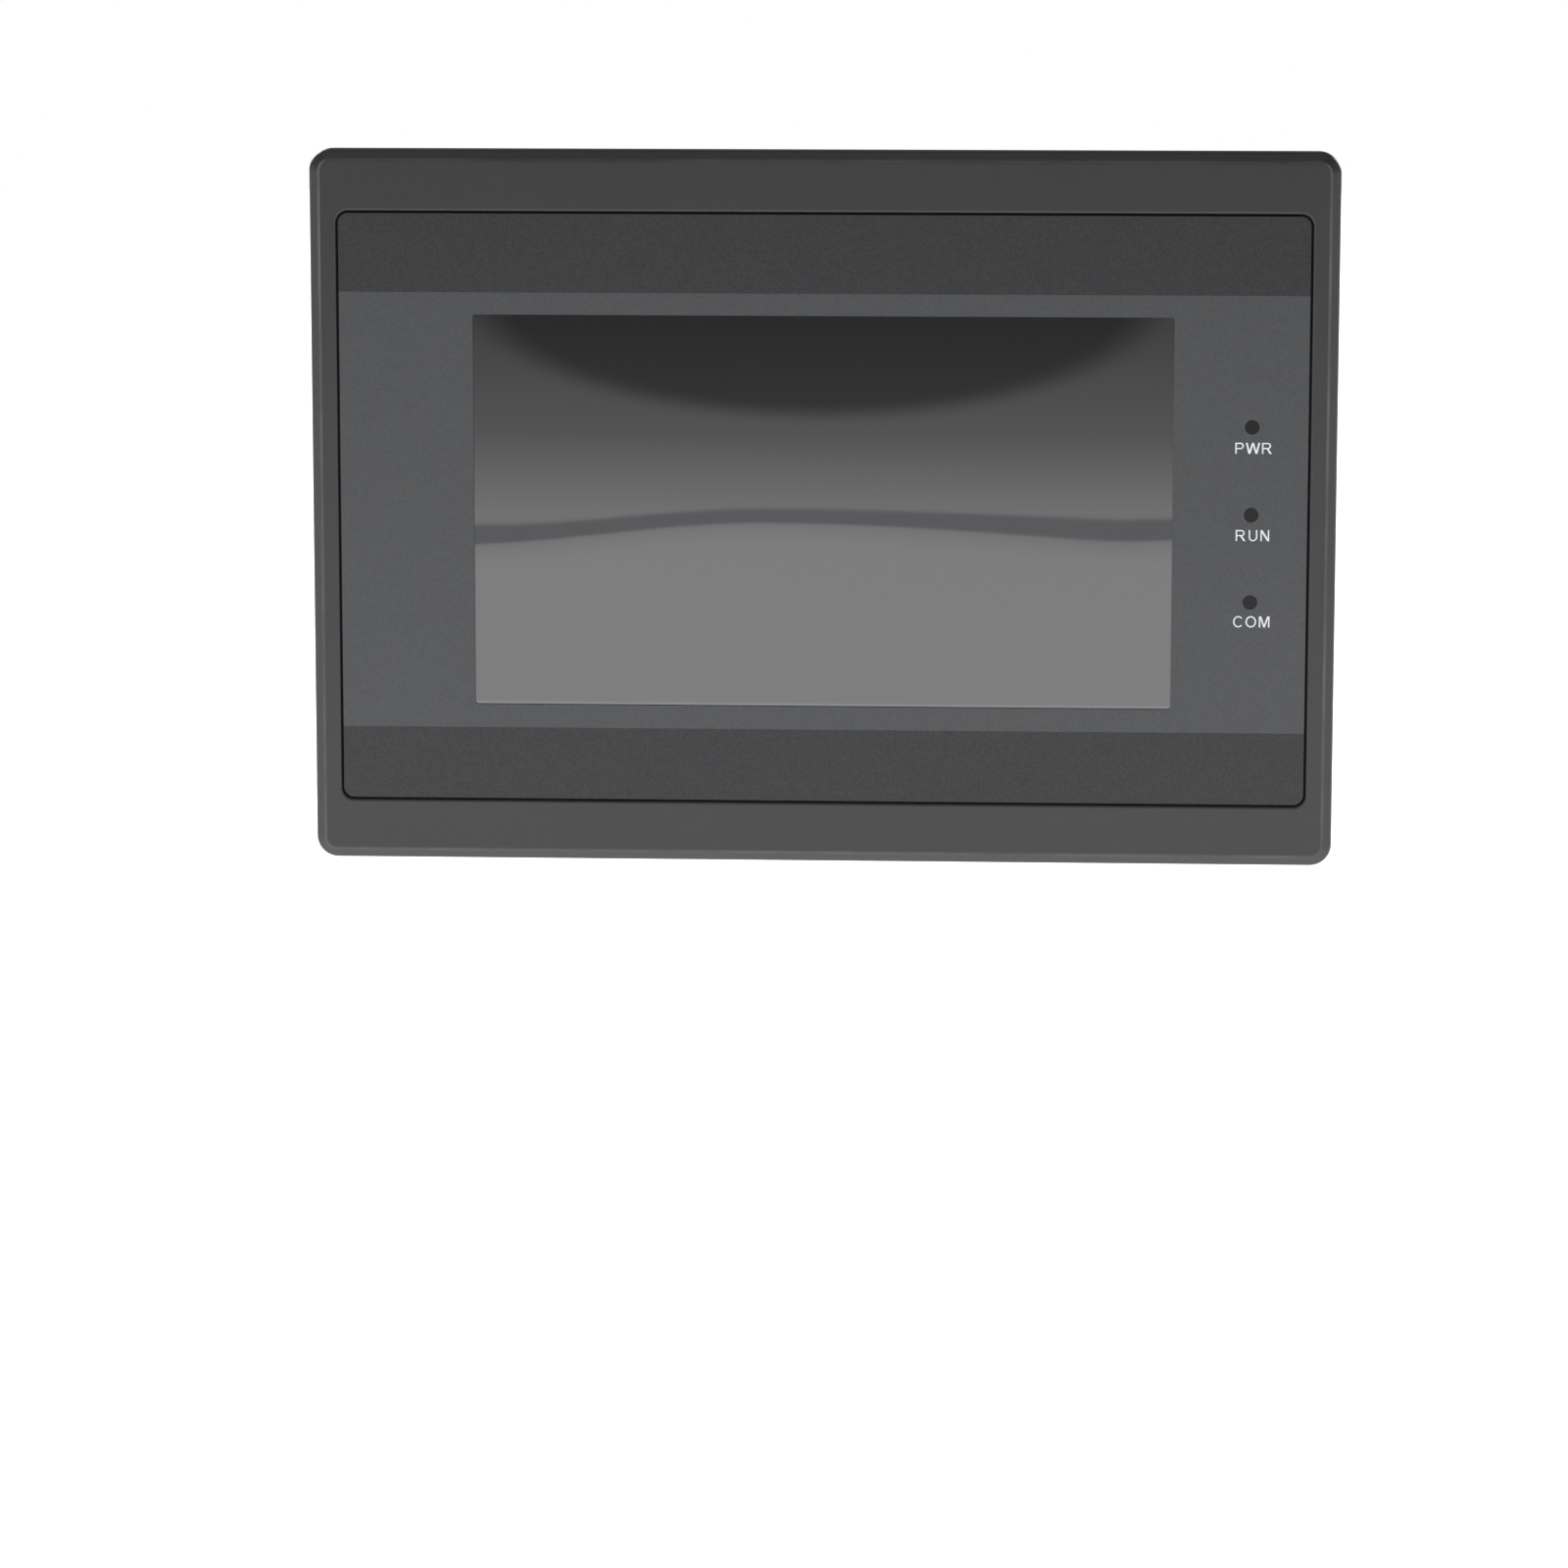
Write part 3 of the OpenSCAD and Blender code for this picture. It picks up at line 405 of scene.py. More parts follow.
NODE_MATS = {
    "front_bezel": "bezel", "graphic_overlay": "overlay", "lamp_lenses": "lamp",
    "touch_film": "screen", "touch_spacer": "tape", "touch_glass": "glass",
    "touch_tape": "tape", "touch_tail": "flex", "display_gasket": "foam",
    "display_glass": "lcd", "display_frame": "sheet", "light_guide": "acrylic",
    "backlight_tray": "white", "display_flex": "flex", "chassis_plate": "sheet",
    "chassis_screws": "screw", "board_standoffs": "brass", "main_board": "pcb",
    "board_screws": "screw", "lamp_board": "pcb", "status_lamps": "white",
    "lamp_cable": "cable", "flex_connectors": "white", "processor": "chip",
    "memory_chips": "chip", "power_inductors": "chip", "capacitors": "can",
    "battery_holder": "chip", "coin_cell": "tin", "buzzer": "chip",
    "terminal_header": "green", "header_pins": "tin", "terminal_plug": "green",
    "plug_contacts": "tin", "terminal_screw_1": "screw", "terminal_screw_2": "screw",
    "terminal_screw_3": "screw", "wire_clamp_1": "tin", "wire_clamp_2": "tin",
    "wire_clamp_3": "tin", "com_port_shells": "tin", "com_port_inserts": "chip",
    "com_port_jackscrews": "screw", "usb_shells": "tin", "usb_tongues": "tongue",
    "mode_switch": "red", "mode_slider_1": "white", "mode_slider_2": "white",
    "mode_slider_3": "white", "mode_slider_4": "white", "rear_housing": "housing",
    "housing_screws": "screw", "rear_label": "label", "panel_gasket": "foam",
    "clamp_left": "nickel", "clamp_right": "nickel",
    "clamp_screw_left": "screw", "clamp_screw_right": "screw",
}

BODY = {}
for b, members in frame["record"]["behaviour"]["bodies"].items():
    for n in members:
        BODY[n] = b

for n, key in NODE_MATS.items():
    me = nodes[n].data
    me.materials.clear()
    me.materials.append(MATS[key])

# ---------------------------------------------------------------- pieces


def new_piece(name, me, body, material):
    o = bpy.data.objects.new(name, me)
    bpy.context.scene.collection.objects.link(o)
    if material is not None:
        me.materials.clear()
        me.materials.append(material)
    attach(o, body)
    return o


def welded(node):
    """A CAD node's mesh, welded, with each flat area as one face."""
    bm = bmesh.new()
    bm.from_mesh(nodes[node].data)
    bmesh.ops.remove_doubles(bm, verts=bm.verts, dist=2e-7)
    bmesh.ops.dissolve_limit(bm, angle_limit=math.radians(0.3), verts=bm.verts, edges=bm.edges)
    return bm


def skin(bm):
    """Area of the faces as outlines, and area of the triangles that fill them."""
    whole = sum(f.calc_area() for f in bm.faces)
    b = bm.copy()
    bmesh.ops.triangulate(b, faces=[f for f in b.faces if len(f.verts) > 3])
    filled = sum(f.calc_area() for f in b.faces)
    b.free()
    return whole, filled


def round_edges(bm, width, segs, angle=32.0):
    """Rounds each connected run of sharp edges by itself, as far as there is room for it."""
    sharp = math.radians(angle)
    tag = bm.edges.layers.int.new("run")
    left = {e for e in bm.edges if len(e.link_faces) == 2 and e.calc_face_angle(0.0) > sharp}
    order = [e for e in bm.edges if e in left]
    runs = []
    for first in order:
        if first not in left:
            continue
        left.discard(first)
        stack = [first]
        gain = 0.0
        while stack:
            e = stack.pop()
            e[tag] = len(runs) + 1
            th = min(e.calc_face_angle(0.0), 2.6)
            gain += e.calc_length() * (2.0 - th / math.tan(th / 2))
            for v in e.verts:
                for o in v.link_edges:
                    if o in left:
                        left.discard(o)
                        stack.append(o)
        runs.append(gain)
    whole, filled = skin(bm)
    volume = bm.calc_volume()
    for k, gain in enumerate(runs):
        for share, clamp in ((1.0, False), (0.6, False), (1.0, True), (0.3, False), (0.3, True)):
            w = width * share * MM
            trial = bm.copy()
            t = trial.edges.layers.int["run"]
            run = [e for e in trial.edges if e[t] == k + 1]
            bmesh.ops.bevel(trial, geom=run, offset=w, offset_type="OFFSET", segments=segs,
                            profile=0.5, affect="EDGES", clamp_overlap=clamp, loop_slide=False)
            w2, f2 = skin(trial)
            loss = filled - f2
            sound = abs(w2 - f2) < 2e-5 * f2 + 1e-10
            if sound and -1e-10 < loss < 1.8 * gain * w + 2e-8 and abs(trial.calc_volume() - volume) < 0.03 * abs(volume):
                bm.free()
                bm = trial
                filled = f2
                break
            trial.free()
    return bm


def triangulated(bm, limit=50.0):
    """Splits the large faces, and returns a normal for each face corner.

    A corner follows the largest whole face that meets it within the limit, so flat areas
    stay flat and their rounded edges blend into them."""
    bm.normal_update()
    whole = bm.faces.layers.int.new("whole")
    normal, weight = [], []
    for k, f in enumerate(bm.faces):
        f[whole] = k
        normal.append(f.normal.copy())
        weight.append((f.calc_area() * 1e6 + 1e-5) ** 2)
    bmesh.ops.triangulate(bm, faces=[f for f in bm.faces if len(f.verts) > 4])
    bm.verts.index_update()
    cos = math.cos(math.radians(limit))
    around = [sorted({f[whole] for f in v.link_faces}) for v in bm.verts]
    done, corners = {}, []
    for f in bm.faces:
        k = f[whole]
        for v in f.verts:
            key = (v.index, k)
            n = done.get(key)
            if n is None:
                n = Vector((0.0, 0.0, 0.0))
                for g in around[v.index]:
                    if normal[g].dot(normal[k]) > cos:
                        n += normal[g] * weight[g]
                n = n.normalized() if n.length > 1e-12 else normal[k]
                done[key] = n
            corners.append(n)
    return corners


def show_for(node, bm, material=None):
    """Makes a finished mesh the visible piece for one CAD node."""
    corners = triangulated(bm)
    for f in bm.faces:
        f.smooth = True
    me = bpy.data.meshes.new(node + "_detail")
    bm.to_mesh(me)
    bm.free()
    me.normals_split_custom_set(corners)
    o = new_piece(node + "_detail", me, BODY[node], material or MATS[NODE_MATS[node]])
    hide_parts(node)
    return o


def refine(node, width=0.25, segs=3, angle=32.0):
    """A copy of a CAD node with rounded edges, shown in its place."""
    return show_for(node, round_edges(welded(node), width, segs, angle))


def box_mesh(bm, lo, hi, index=0):
    vs = [bm.verts.new((x, y, z)) for x in (lo[0], hi[0]) for y in (lo[1], hi[1]) for z in (lo[2], hi[2])]
    for q in ((0, 1, 3, 2), (4, 6, 7, 5), (0, 4, 5, 1), (2, 3, 7, 6), (0, 2, 6, 4), (1, 5, 7, 3)):
        f = bm.faces.new([vs[i] for i in q])
        f.material_index = index
    return vs


def from_bm(name, bm, body, materials, bevel=0.0, segs=2, smooth=True):
    bmesh.ops.recalc_face_normals(bm, faces=bm.faces)
    if bevel:
        edges = [e for e in bm.edges if len(e.link_faces) == 2 and e.calc_face_angle(0.0) > math.radians(35)]
        bmesh.ops.bevel(bm, geom=edges, offset=bevel * MM, segments=segs, profile=0.5, affect="EDGES", clamp_overlap=True)
    for f in bm.faces:
        f.smooth = smooth
    me = bpy.data.meshes.new(name)
    bm.to_mesh(me)
    bm.free()
    for m in materials:
        me.materials.append(m)
    o = bpy.data.objects.new(name, me)
    bpy.context.scene.collection.objects.link(o)
    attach(o, body)
    if smooth:
        w = o.modifiers.new("weighted", "WEIGHTED_NORMAL")
        w.weight = 50
    return o


def tube_rings(bm, rings, close_start=True, close_end=True, index=0):
    """Skins a list of rings of points, each with the same count."""
    rows = [[bm.verts.new(p) for p in ring] for ring in rings]
    n = len(rows[0])
    for a, b in zip(rows, rows[1:]):
        for i in range(n):
            f = bm.faces.new((a[i], a[(i + 1) % n], b[(i + 1) % n], b[i]))
            f.material_index = index
    if close_start:
        bm.faces.new(list(reversed(rows[0]))).material_index = index
    if close_end:
        bm.faces.new(rows[-1]).material_index = index
    return rows


# -- enclosure
refine("front_bezel", 0.55, 5)
refine("graphic_overlay", 0.05, 2)
refine("rear_housing", 0.3, 3)
refine("lamp_lenses", 0.05, 2)
refine("rear_label", 0.04, 1)
refine("panel_gasket", 0.3, 3)
refine("housing_screws", 0.12, 2)

# -- connectors
refine("terminal_plug", 0.12, 2)
refine("terminal_header", 0.12, 2)
for i in (1, 2, 3):
    refine("terminal_screw_%d" % i, 0.08, 2)
    refine("wire_clamp_%d" % i, 0.06, 1)
for i in (1, 2, 3, 4):
    refine("mode_slider_%d" % i, 0.08, 2)
refine("mode_switch", 0.12, 2)
refine("com_port_shells", 0.12, 2)
refine("com_port_inserts", 0.1, 2)
refine("com_port_jackscrews", 0.18, 3)
refine("usb_shells", 0.1, 2)
refine("usb_tongues", 0.08, 1)
refine("header_pins", 0.08, 2)
refine("plug_contacts", 0.06, 1)

# -- inside
for n, wd in (("chassis_plate", 0.12), ("chassis_screws", 0.12), ("board_standoffs", 0.15),
              ("board_screws", 0.12), ("main_board", 0.08), ("capacitors", 0.35), ("power_inductors", 0.4),
              ("battery_holder", 0.25), ("coin_cell", 0.25), ("buzzer", 0.3), ("memory_chips", 0.1),
              ("processor", 0.06), ("flex_connectors", 0.12), ("display_frame", 0.1), ("lamp_cable", 0.1),
              ("backlight_tray", 0.2), ("light_guide", 0.1), ("display_glass", 0.08), ("touch_glass", 0.08),
              ("lamp_board", 0.08), ("status_lamps", 0.06), ("display_gasket", 0.12)):
    refine(n, wd, 2)


def bracket(node):
    """A clamp bent from sheet: rounded bends, then broken edges."""
    bm = welded(node)
    back = max(v.co.y for v in bm.verts)
    wide = max(abs(v.co.z) for v in bm.verts)
    bends = [e for e in bm.edges if all(abs(v.co.y - back) < 2e-5 and abs(abs(v.co.z) - wide) < 2e-5 for v in e.verts)]
    bmesh.ops.bevel(bm, geom=bends, offset=1.1 * MM, segments=6, profile=0.5, affect="EDGES", clamp_overlap=True)
    show_for(node, round_edges(bm, 0.14, 2, 40.0), MATS["nickel"])


bracket("clamp_left")
bracket("clamp_right")


def machine_screw(node, pitch=0.5, major=1.47, minor=1.2, seg=28, per=8):
    """The CAD screw's head with a rolled helical thread under it."""
    lo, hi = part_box(node)
    cx, cz = (lo[0] + hi[0]) / 2, (lo[2] + hi[2]) / 2
    head_h = 2.4 * MM
    seat = hi[1] - head_h
    bm = welded(node)
    bmesh.ops.bisect_plane(bm, geom=bm.verts[:] + bm.edges[:] + bm.faces[:], plane_co=(0, seat - 0.2 * MM, 0),
                           plane_no=(0, 1, 0), clear_inner=True)
    rim = [e for e in bm.edges if len(e.link_faces) == 1]
    bmesh.ops.holes_fill(bm, edges=rim, sides=0)
    bm = round_edges(bm, 0.2, 3)
    rings = []
    y0, y1 = lo[1], seat + 0.1 * MM
    n = int((y1 - y0) / (pitch * MM) * per)
    for j in range(n + 1):
        y = y0 + (y1 - y0) * j / n
        ring = []
        for k in range(seg):
            a = 2 * math.pi * k / seg
            t = ((y - y0) / (pitch * MM) - k / seg) % 1.0
            tri = abs(t - 0.5) * 2.0
            form = min(1.0, max(0.0, (tri - 0.12) / 0.7))
            r = minor + (major - minor) * form
            fade = min(1.0, (y - y0) / (0.6 * MM))
            r = r * (0.8 + 0.2 * fade)
            if y > seat - 0.9 * MM:
                r = min(r, 1.3) if y < seat - 0.3 * MM else 1.45
            ring.append((cx + r * MM * math.cos(a), y, cz - r * MM * math.sin(a)))
        rings.append(ring)
    tube_rings(bm, rings)
    bmesh.ops.recalc_face_normals(bm, faces=bm.faces)
    show_for(node, bm, MATS["screw"])


machine_screw("clamp_screw_left")
machine_screw("clamp_screw_right")

# -- printed legends beside the lamps: plain function words
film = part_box("graphic_overlay")[0][1]
LEGENDS = (("PWR", 14.36, 8.06), ("RUN", -5.05, 7.4), ("COM", -24.33, 8.06))


STEM = 0.125


def arc(cx, cy, rx, ry, a0, a1, n=18):
    return [(cx + rx * math.cos(math.radians(a0 + (a1 - a0) * k / n)),
             cy + ry * math.sin(math.radians(a0 + (a1 - a0) * k / n))) for k in range(n + 1)]


def glyph(letter):
    """Closed outlines of a plain sans capital, cap height 1, and its width."""
    t = STEM
    if letter == "P":
        return [[(0, 0), (0, 1), (0.47, 1)] + arc(0.47, 0.71, 0.29, 0.29, 90, -90) + [(t, 0.42), (t, 0)],
                [(t, 1 - t * 0.9)] + arc(0.47, 0.71, 0.29 - t, 0.29 - t * 0.9, 90, -90) + [(t, 0.42 + t * 0.9)]], 0.76
    if letter == "R":
        return [[(0, 0), (0, 1), (0.52, 1)] + arc(0.52, 0.72, 0.28, 0.28, 90, -78) + [(0.60, 0.425), (0.88, 0), (0.69, 0), (0.41, 0.44), (t, 0.44), (t, 0)],
                [(t, 1 - t * 0.9)] + arc(0.52, 0.72, 0.28 - t, 0.28 - t * 0.9, 90, -90) + [(t, 0.44 + t * 0.9)]], 0.88
    if letter == "W":
        return [[(0, 1), (0.165, 1), (0.3423, 0.2907), (0.5675, 1), (0.7325, 1), (0.9577, 0.2907), (1.135, 1), (1.3, 1),
                 (1.05, 0), (0.885, 0), (0.65, 0.74), (0.415, 0), (0.25, 0)]], 1.3
    if letter == "U":
        return [[(0, 1)] + arc(0.388, 0.376, 0.388, 0.391, 180, 360) + [(0.776, 1), (0.776 - t, 1)]
                + arc(0.388, 0.376, 0.388 - t, 0.391 - t * 0.9, 360, 180) + [(t, 1)]], 0.776
    if letter == "N":
        return [[(0, 0), (0, 1), (0.17, 1), (0.78 - t, 0.235), (0.78 - t, 1), (0.78, 1), (0.78, 0), (0.61, 0), (t, 0.765), (t, 0)]], 0.78
    if letter == "C":
        return [arc(0.46, 0.5, 0.46, 0.515, 40, 320, 40) + arc(0.46, 0.5, 0.46 - t, 0.515 - t * 0.9, 316, 44, 40)], 0.87
    if letter == "O":
        return [arc(0.48, 0.5, 0.48, 0.515, 0, 352.5, 47), arc(0.48, 0.5, 0.48 - t, 0.515 - t * 0.9, 0, 352.5, 47)], 0.96
    return [[(0, 0), (0, 1), (0.21, 1), (0.4785, 0.22), (0.747, 1), (0.957, 1), (0.957, 0), (0.957 - t, 0), (0.957 - t, 0.82),
             (0.545, 0), (0.412, 0), (t, 0.82), (t, 0)]], 0.957


def legend(word, z_mm, width_mm):
    shapes = [glyph(ch) for ch in word]
    inked = sum(w for _, w in shapes)
    gap = (width_mm / 2.46 - inked) / (len(word) - 1)
    c = bpy.data.curves.new("legend_" + word.lower(), "CURVE")
    c.dimensions = "2D"
    c.fill_mode = "BOTH"
    c.extrude = 0.005
    x = 0.0
    for loops, w in shapes:
        for loop in loops:
            sp = c.splines.new("POLY")
            sp.points.add(len(loop) - 1)
            for pt, (px, py) in zip(sp.points, loop):
                pt.co = (x + px, py, 0, 1)
            sp.use_cyclic_u = True
        x += w + gap
    total = x - gap
    o = bpy.data.objects.new("legend_src", c)
    bpy.context.scene.collection.objects.link(o)
    bpy.context.view_layer.update()
    me = bpy.data.meshes.new_from_object(o.evaluated_get(bpy.context.evaluated_depsgraph_get()))
    bpy.data.objects.remove(o)
    bpy.data.curves.remove(c)
    k = 2.46 * MM
    for v in me.vertices:
        px, py, pz = v.co
        v.co = (95.45 * MM + (px - total / 2) * k, film - pz * k, z_mm * MM + (py - 0.5) * k)
    me.name = "legend_" + word.lower()
    new_piece("legend_" + word.lower(), me, "unit", MATS["ink"])


for word, z, wd in LEGENDS:
    legend(word, z, wd)

# -- connector contacts
STEP_Z, Y_COMP = -54.0, 11.8
COM_Y = Y_COMP + 6.6
bm = bmesh.new()
for px in (-36.0, 2.0):
    spots = [((k - 2) * 2.77, 1.42) for k in range(5)] + [((k - 1.5) * 2.77, -1.42) for k in range(4)]
    for dx, dy in spots:
        cx, cy = px + dx, COM_Y + dy
        prof = [(0.49, -57.45), (0.52, -57.3), (0.52, -54.2), (0.36, -54.2), (0.36, -57.3), (0.4, -57.45)]
        rows = []
        for r, z in prof:
            rows.append([((cx + r * math.cos(2 * math.pi * k / 20)) * MM, (cy + r * math.sin(2 * math.pi * k / 20)) * MM, z * MM) for k in range(20)])
        rows.append(rows[0])
        vr = [[bm.verts.new(p) for p in row] for row in rows[:-1]]
        vr.append(vr[0])
        for a, b in zip(vr, vr[1:]):
            for k in range(20):
                bm.faces.new((a[k], a[(k + 1) % 20], b[(k + 1) % 20], b[k]))
o = from_bm("com_port_contacts", bm, "unit", [MATS["gold"]])

bm = bmesh.new()
ux, uy = 33.0, Y_COMP + 3.2
for k in range(4):
    x = ux + (k - 1.5) * 2.5 + (0.25 if k == 2 else -0.25 if k == 1 else 0.0)
    z0 = -52.2 if k in (0, 3) else -51.3
    box_mesh(bm, ((x - 0.55) * MM, (uy + 0.18) * MM, z0 * MM), ((x + 0.55) * MM, (uy + 0.32) * MM, -44.2 * MM))
bx_, by_ = 54.0, Y_COMP + 2.0
for k in range(5):
    x = bx_ + (k - 2) * 0.65
    box_mesh(bm, ((x - 0.17) * MM, (by_ + 0.48) * MM, -52.9 * MM), ((x + 0.17) * MM, (by_ + 0.58) * MM, -47.2 * MM))
o = from_bm("usb_contacts", bm, "unit", [MATS["gold"]], bevel=0.04)

# -- small parts on the main board
KEEP = [(-25, 1, 0, 25), (7, 27, 1, 27), (-45, -35, -5, 5), (-7, 0, -21, -13), (-73, -43, -31, -17),
        (-77, -55, 1, 11), (-77, -67, 15, 25), (-39, -29, -31, -21), (39, 66, 6, 30), (59, 73, -27, -13),
        (-80, -60, -55, -39), (-53, -19, -55, -38.5), (-15, 19, -55, -38.5), (25, 41, -55, -38.5),
        (48, 60, -55, -42), (65, 79, -55, -44), (-87, -77, -47, -37), (77, 87, -47, -37),
        (-87, -77, 36, 47), (77, 87, 36, 47)]
seed = 12345


def rnd():
    global seed
    seed = (seed * 1103515245 + 12345) & 0x7FFFFFFF
    return seed / 0x7FFFFFFF


bm = bmesh.new()
placed = []
while len(placed) < 150:
    x, z = -82 + 164 * rnd(), -40 + 84 * rnd()
    flat = rnd() < 0.5
    L, Wd, H = ((1.6, 0.8, 0.5), (2.0, 1.25, 0.6), (3.2, 1.6, 0.6))[int(rnd() * 2.99)]
    x, z = round(x / 1.27) * 1.27, round(z / 1.27) * 1.27
    w2, h2 = (L / 2, Wd / 2) if flat else (Wd / 2, L / 2)
    if any(k[0] - w2 < x < k[1] + w2 and k[2] - h2 < z < k[3] + h2 for k in KEEP):
        continue
    if any(abs(x - p[0]) < w2 + p[2] + 0.4 and abs(z - p[1]) < h2 + p[3] + 0.4 for p in placed):
        continue
    placed.append((x, z, w2, h2))
    dark = rnd() < 0.45
    t, e = 0.28, 0.02          # end caps stand a little proud of the ceramic body
    y0 = Y_COMP
    if flat:
        box_mesh(bm, ((x - w2 + t / 2) * MM, (y0 + e) * MM, (z - h2 + e) * MM), ((x + w2 - t / 2) * MM, (y0 + H - e) * MM, (z + h2 - e) * MM), 0 if dark else 2)
        box_mesh(bm, ((x - w2) * MM, y0 * MM, (z - h2) * MM), ((x - w2 + t) * MM, (y0 + H) * MM, (z + h2) * MM), 1)
        box_mesh(bm, ((x + w2 - t) * MM, y0 * MM, (z - h2) * MM), ((x + w2) * MM, (y0 + H) * MM, (z + h2) * MM), 1)
    else:
        box_mesh(bm, ((x - w2 + e) * MM, (y0 + e) * MM, (z - h2 + t / 2) * MM), ((x + w2 - e) * MM, (y0 + H - e) * MM, (z + h2 - t / 2) * MM), 0 if dark else 2)
        box_mesh(bm, ((x - w2) * MM, y0 * MM, (z - h2) * MM), ((x + w2) * MM, (y0 + H) * MM, (z - h2 + t) * MM), 1)
        box_mesh(bm, ((x - w2) * MM, y0 * MM, (z + h2 - t) * MM), ((x + w2) * MM, (y0 + H) * MM, (z + h2) * MM), 1)
# leads of the memory packages
for x0, x1, z0, z1 in ((8, 26, 16, 26), (8, 26, 2, 12)):
    for k in range(22):
        x = x0 + 0.6 + k * 0.8
        for zz, d in ((z0, -1), (z1, 1)):
            box_mesh(bm, ((x - 0.15) * MM, Y_COMP * MM, min(zz, zz + 0.9 * d) * MM), ((x + 0.15) * MM, (Y_COMP + 0.14) * MM, max(zz, zz + 0.9 * d) * MM), 1)
o = from_bm("board_parts", bm, "unit", [MATS["chip"], MATS["tin"], smooth_plastic("ceramic_tan", (0.33, 0.2, 0.11), 0.5)], smooth=False)

# ---------------------------------------------------------------- stage and light


def stage_plane(name, corners, material):
    me = bpy.data.meshes.new(name)
    me.from_pydata([Vector(c) for c in corners], [], [tuple(range(len(corners)))])
    o = bpy.data.objects.new(name, me)
    bpy.context.scene.collection.objects.link(o)
    me.materials.append(material)
    return o


FLOOR_Z = cad_box[0][2] - 0.0004


PEAK_X, REACH = -0.048, (0.10, 0.18)
EDGE_MID, EDGE_LEFT, EDGE_RIGHT = -0.6535, -0.588, -0.5895
TURN = 1.7 * 0.118         # on the right the curve comes back past 0.118 m


def curve_edge(x):
    """The floor's front edge as a shallow curve, highest in the reflection at PEAK_X."""
    reach, end = (REACH[0], EDGE_LEFT) if x < PEAK_X else (REACH[1], EDGE_RIGHT)
    off = abs(x - PEAK_X)
    if x > PEAK_X:
        off = max(min(off, TURN - 0.7 * off), 0.05 if off > 0.1 else off)
    u = min(1.0, off / reach)
    return EDGE_MID + (end - EDGE_MID) * (0.5 - 0.5 * math.cos(math.pi * u))


def curve_in_shader(m, x, left, right):
    """The same curve as a shader value: 0 at PEAK_X, left or right at its ends."""
    side = m.math("LESS_THAN", x, PEAK_X)
    off = m.math("ABSOLUTE", m.math("SUBTRACT", x, PEAK_X))
    back = m.math("MAXIMUM", m.math("SUBTRACT", TURN, m.math("MULTIPLY", off, 0.7)), 0.05)
    parts = []
    for reach, height, on, run in ((REACH[0], left, side, off),
                                   (REACH[1], right, m.math("SUBTRACT", 1.0, side), m.math("MINIMUM", off, back))):
        u = m.math("MINIMUM", m.math("DIVIDE", run, reach), 1.0)
        v = m.math("SUBTRACT", 1.0, m.math("COSINE", m.math("MULTIPLY", u, math.pi)))
        parts.append(m.math("MULTIPLY", m.math("MULTIPLY", v, height / 2), on))
    return m.math("ADD", *parts)


floor_mat = Mat("pale_floor", (0.3, 0.3, 0.3), 0.9)
floor_mat.set("Emission Color", (1, 1, 1, 1))
sep = floor_mat.node("ShaderNodeSeparateXYZ")
floor_mat.link(floor_mat.pos(), sep.inputs[0])
bow = curve_in_shader(floor_mat, sep.outputs["X"], EDGE_LEFT - EDGE_MID, EDGE_RIGHT - EDGE_MID)
t = floor_mat.ramp(floor_mat.math("SUBTRACT", sep.outputs["Y"], bow), EDGE_MID, EDGE_MID + 0.08, 1.0, 0.0)
fall = floor_mat.math("SUBTRACT", 1.0, floor_mat.math("MULTIPLY", floor_mat.math("MULTIPLY", t, t), 0.2))
floor_mat.link(floor_mat.math("MULTIPLY", fall, FLOOR_GLOW), floor_mat.bsdf.inputs["Emission Strength"])
floor_mat.set("Specular IOR Level", 0.0)
edge = [-2.2, -0.3] + [-0.25 + 0.0125 * i for i in range(41)] + [0.3, 2.2]
front = [(x, curve_edge(x), FLOOR_Z) for x in edge]
stage_plane("floor", front + [(2.2, 2.4, FLOOR_Z), (-2.2, 2.4, FLOOR_Z)], floor_mat.m)

# studio wall in front of the unit, seen only as a reflection
wall = Mat("studio_wall", (0, 0, 0), 1.0)
sep = wall.node("ShaderNodeSeparateXYZ")
wall.link(wall.pos(), sep.inputs[0])
X, Z = sep.outputs["X"], sep.outputs["Z"]
foot = wall.math("ADD", Z, curve_in_shader(wall, X, 0.0062, 0.0042))      # height above the curved foot line
ex = wall.math("DIVIDE", wall.math("SUBTRACT", X, -0.033), 0.118)
ez = wall.math("DIVIDE", wall.math("SUBTRACT", Z, -0.006), 0.043)
rad = wall.math("ADD", wall.math("MULTIPLY", ex, ex), wall.math("MULTIPLY", ez, ez))
dome = wall.ramp(rad, 0.78, 1.15, 1.0, 0.0, smooth=True)
top = wall.ramp(Z, -0.011, -0.001, 0.0, 1.0, smooth=True)
dark = wall.math("MAXIMUM", dome, top)
rise = wall.ramp(Z, -0.082, -0.055, 1.27, 0.66)
rise2 = wall.ramp(Z, -0.055, -0.015, 0.0, 0.29)
lift = wall.math("SUBTRACT", rise, rise2)
lit = wall.math("MULTIPLY", lift, wall.ramp(dark, 0.0, 1.0, 1.0, 0.40))
stripe = wall.ramp(foot, -0.0813, -0.0797, 0.0, 1.0, smooth=True)
stren = wall.math("ADD", wall.math("MULTIPLY", lit, stripe), wall.math("MULTIPLY", wall.math("SUBTRACT", 1.0, stripe), 0.775))
em = wall.node("ShaderNodeEmission")
wall.link(wall.mix(stripe, (0.97, 0.985, 1.05), (1.0, 1.0, 1.0)), em.inputs["Color"])
wall.link(wall.math("MULTIPLY", stren, WALL_GAIN), em.inputs["Strength"])
out = next(n for n in wall.t.nodes if n.type == "OUTPUT_MATERIAL")
wall.link(em.outputs[0], out.inputs["Surface"])
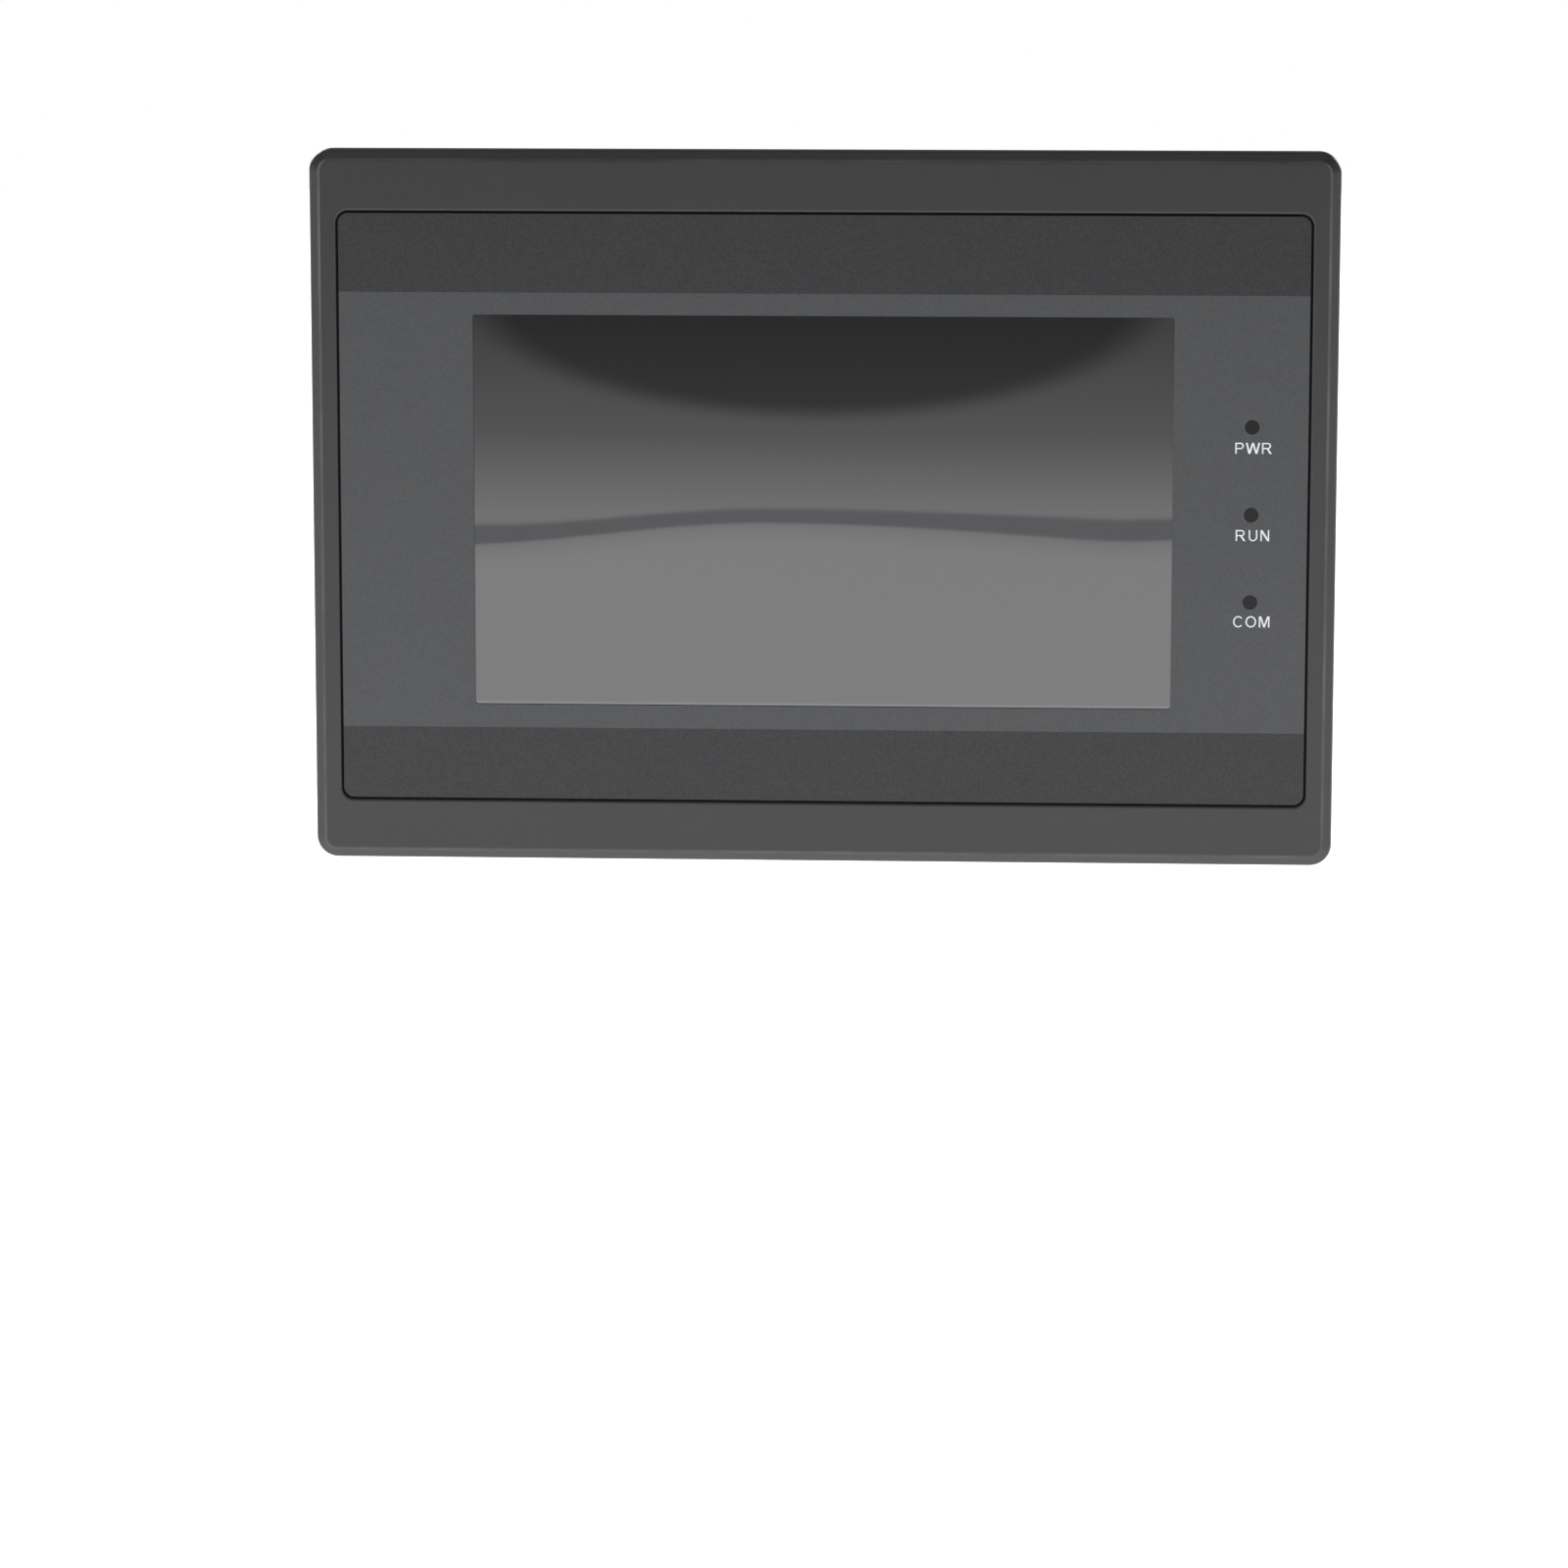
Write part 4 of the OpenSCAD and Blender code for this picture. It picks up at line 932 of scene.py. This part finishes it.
w = stage_plane("front_wall", [(-1.6, -0.70, -0.17), (1.6, -0.70, -0.17), (1.6, -0.70, 1.4), (-1.6, -0.70, 1.4)], wall.m)
w.visible_camera = False
w.visible_diffuse = False
w.visible_shadow = False
w.visible_transmission = False

world = bpy.data.worlds.new("studio")
bpy.context.scene.world = world
world.use_nodes = True
wt = world.node_tree
bg = next(n for n in wt.nodes if n.type == "BACKGROUND")
bg.inputs["Color"].default_value = (1, 1, 1, 1)
bg.inputs["Strength"].default_value = 1.0
fill = wt.nodes.new("ShaderNodeBackground")
fill.inputs["Color"].default_value = (1, 1, 1, 1)
fill.inputs["Strength"].default_value = FILL
path = wt.nodes.new("ShaderNodeLightPath")
blend = wt.nodes.new("ShaderNodeMixShader")
wt.links.new(path.outputs["Is Camera Ray"], blend.inputs[0])
wt.links.new(fill.outputs[0], blend.inputs[1])
wt.links.new(bg.outputs[0], blend.inputs[2])
wt.links.new(blend.outputs[0], next(n for n in wt.nodes if n.type == "OUTPUT_WORLD").inputs["Surface"])


def area(name, place, target, size, power, color=(1, 1, 1)):
    d = bpy.data.lights.new(name, "AREA")
    d.shape = "RECTANGLE"
    d.size, d.size_y = size
    d.energy = power
    d.color = color
    o = bpy.data.objects.new(name, d)
    bpy.context.scene.collection.objects.link(o)
    direction = Vector(target) - Vector(place)
    o.rotation_euler = direction.to_track_quat("-Z", "Y").to_euler()
    o.location = place
    o.visible_camera = False
    return o


area("key", (-0.1, -0.30, 1.0), (0, 0, 0), (1.0, 0.4), KEY)
area("strip_left", (-0.68, -0.66, 0.12), (-0.10, 0, 0.0), (0.08, 1.0), STRIP * 1.15)
area("strip_right", (0.68, -0.66, 0.12), (0.10, 0, 0.0), (0.08, 1.0), STRIP * 0.75)
low = area("low", (0.03, -0.25, -0.06), (0.03, 0, -0.055), (0.5, 0.03), LOW)
low.visible_glossy = False
area("rear_left", (-0.9, 1.1, 0.75), (0, 0, 0), (0.7, 0.7), REAR)
area("rear_right", (1.0, 1.0, 0.55), (0, 0, 0), (0.6, 0.6), REAR * 0.6)
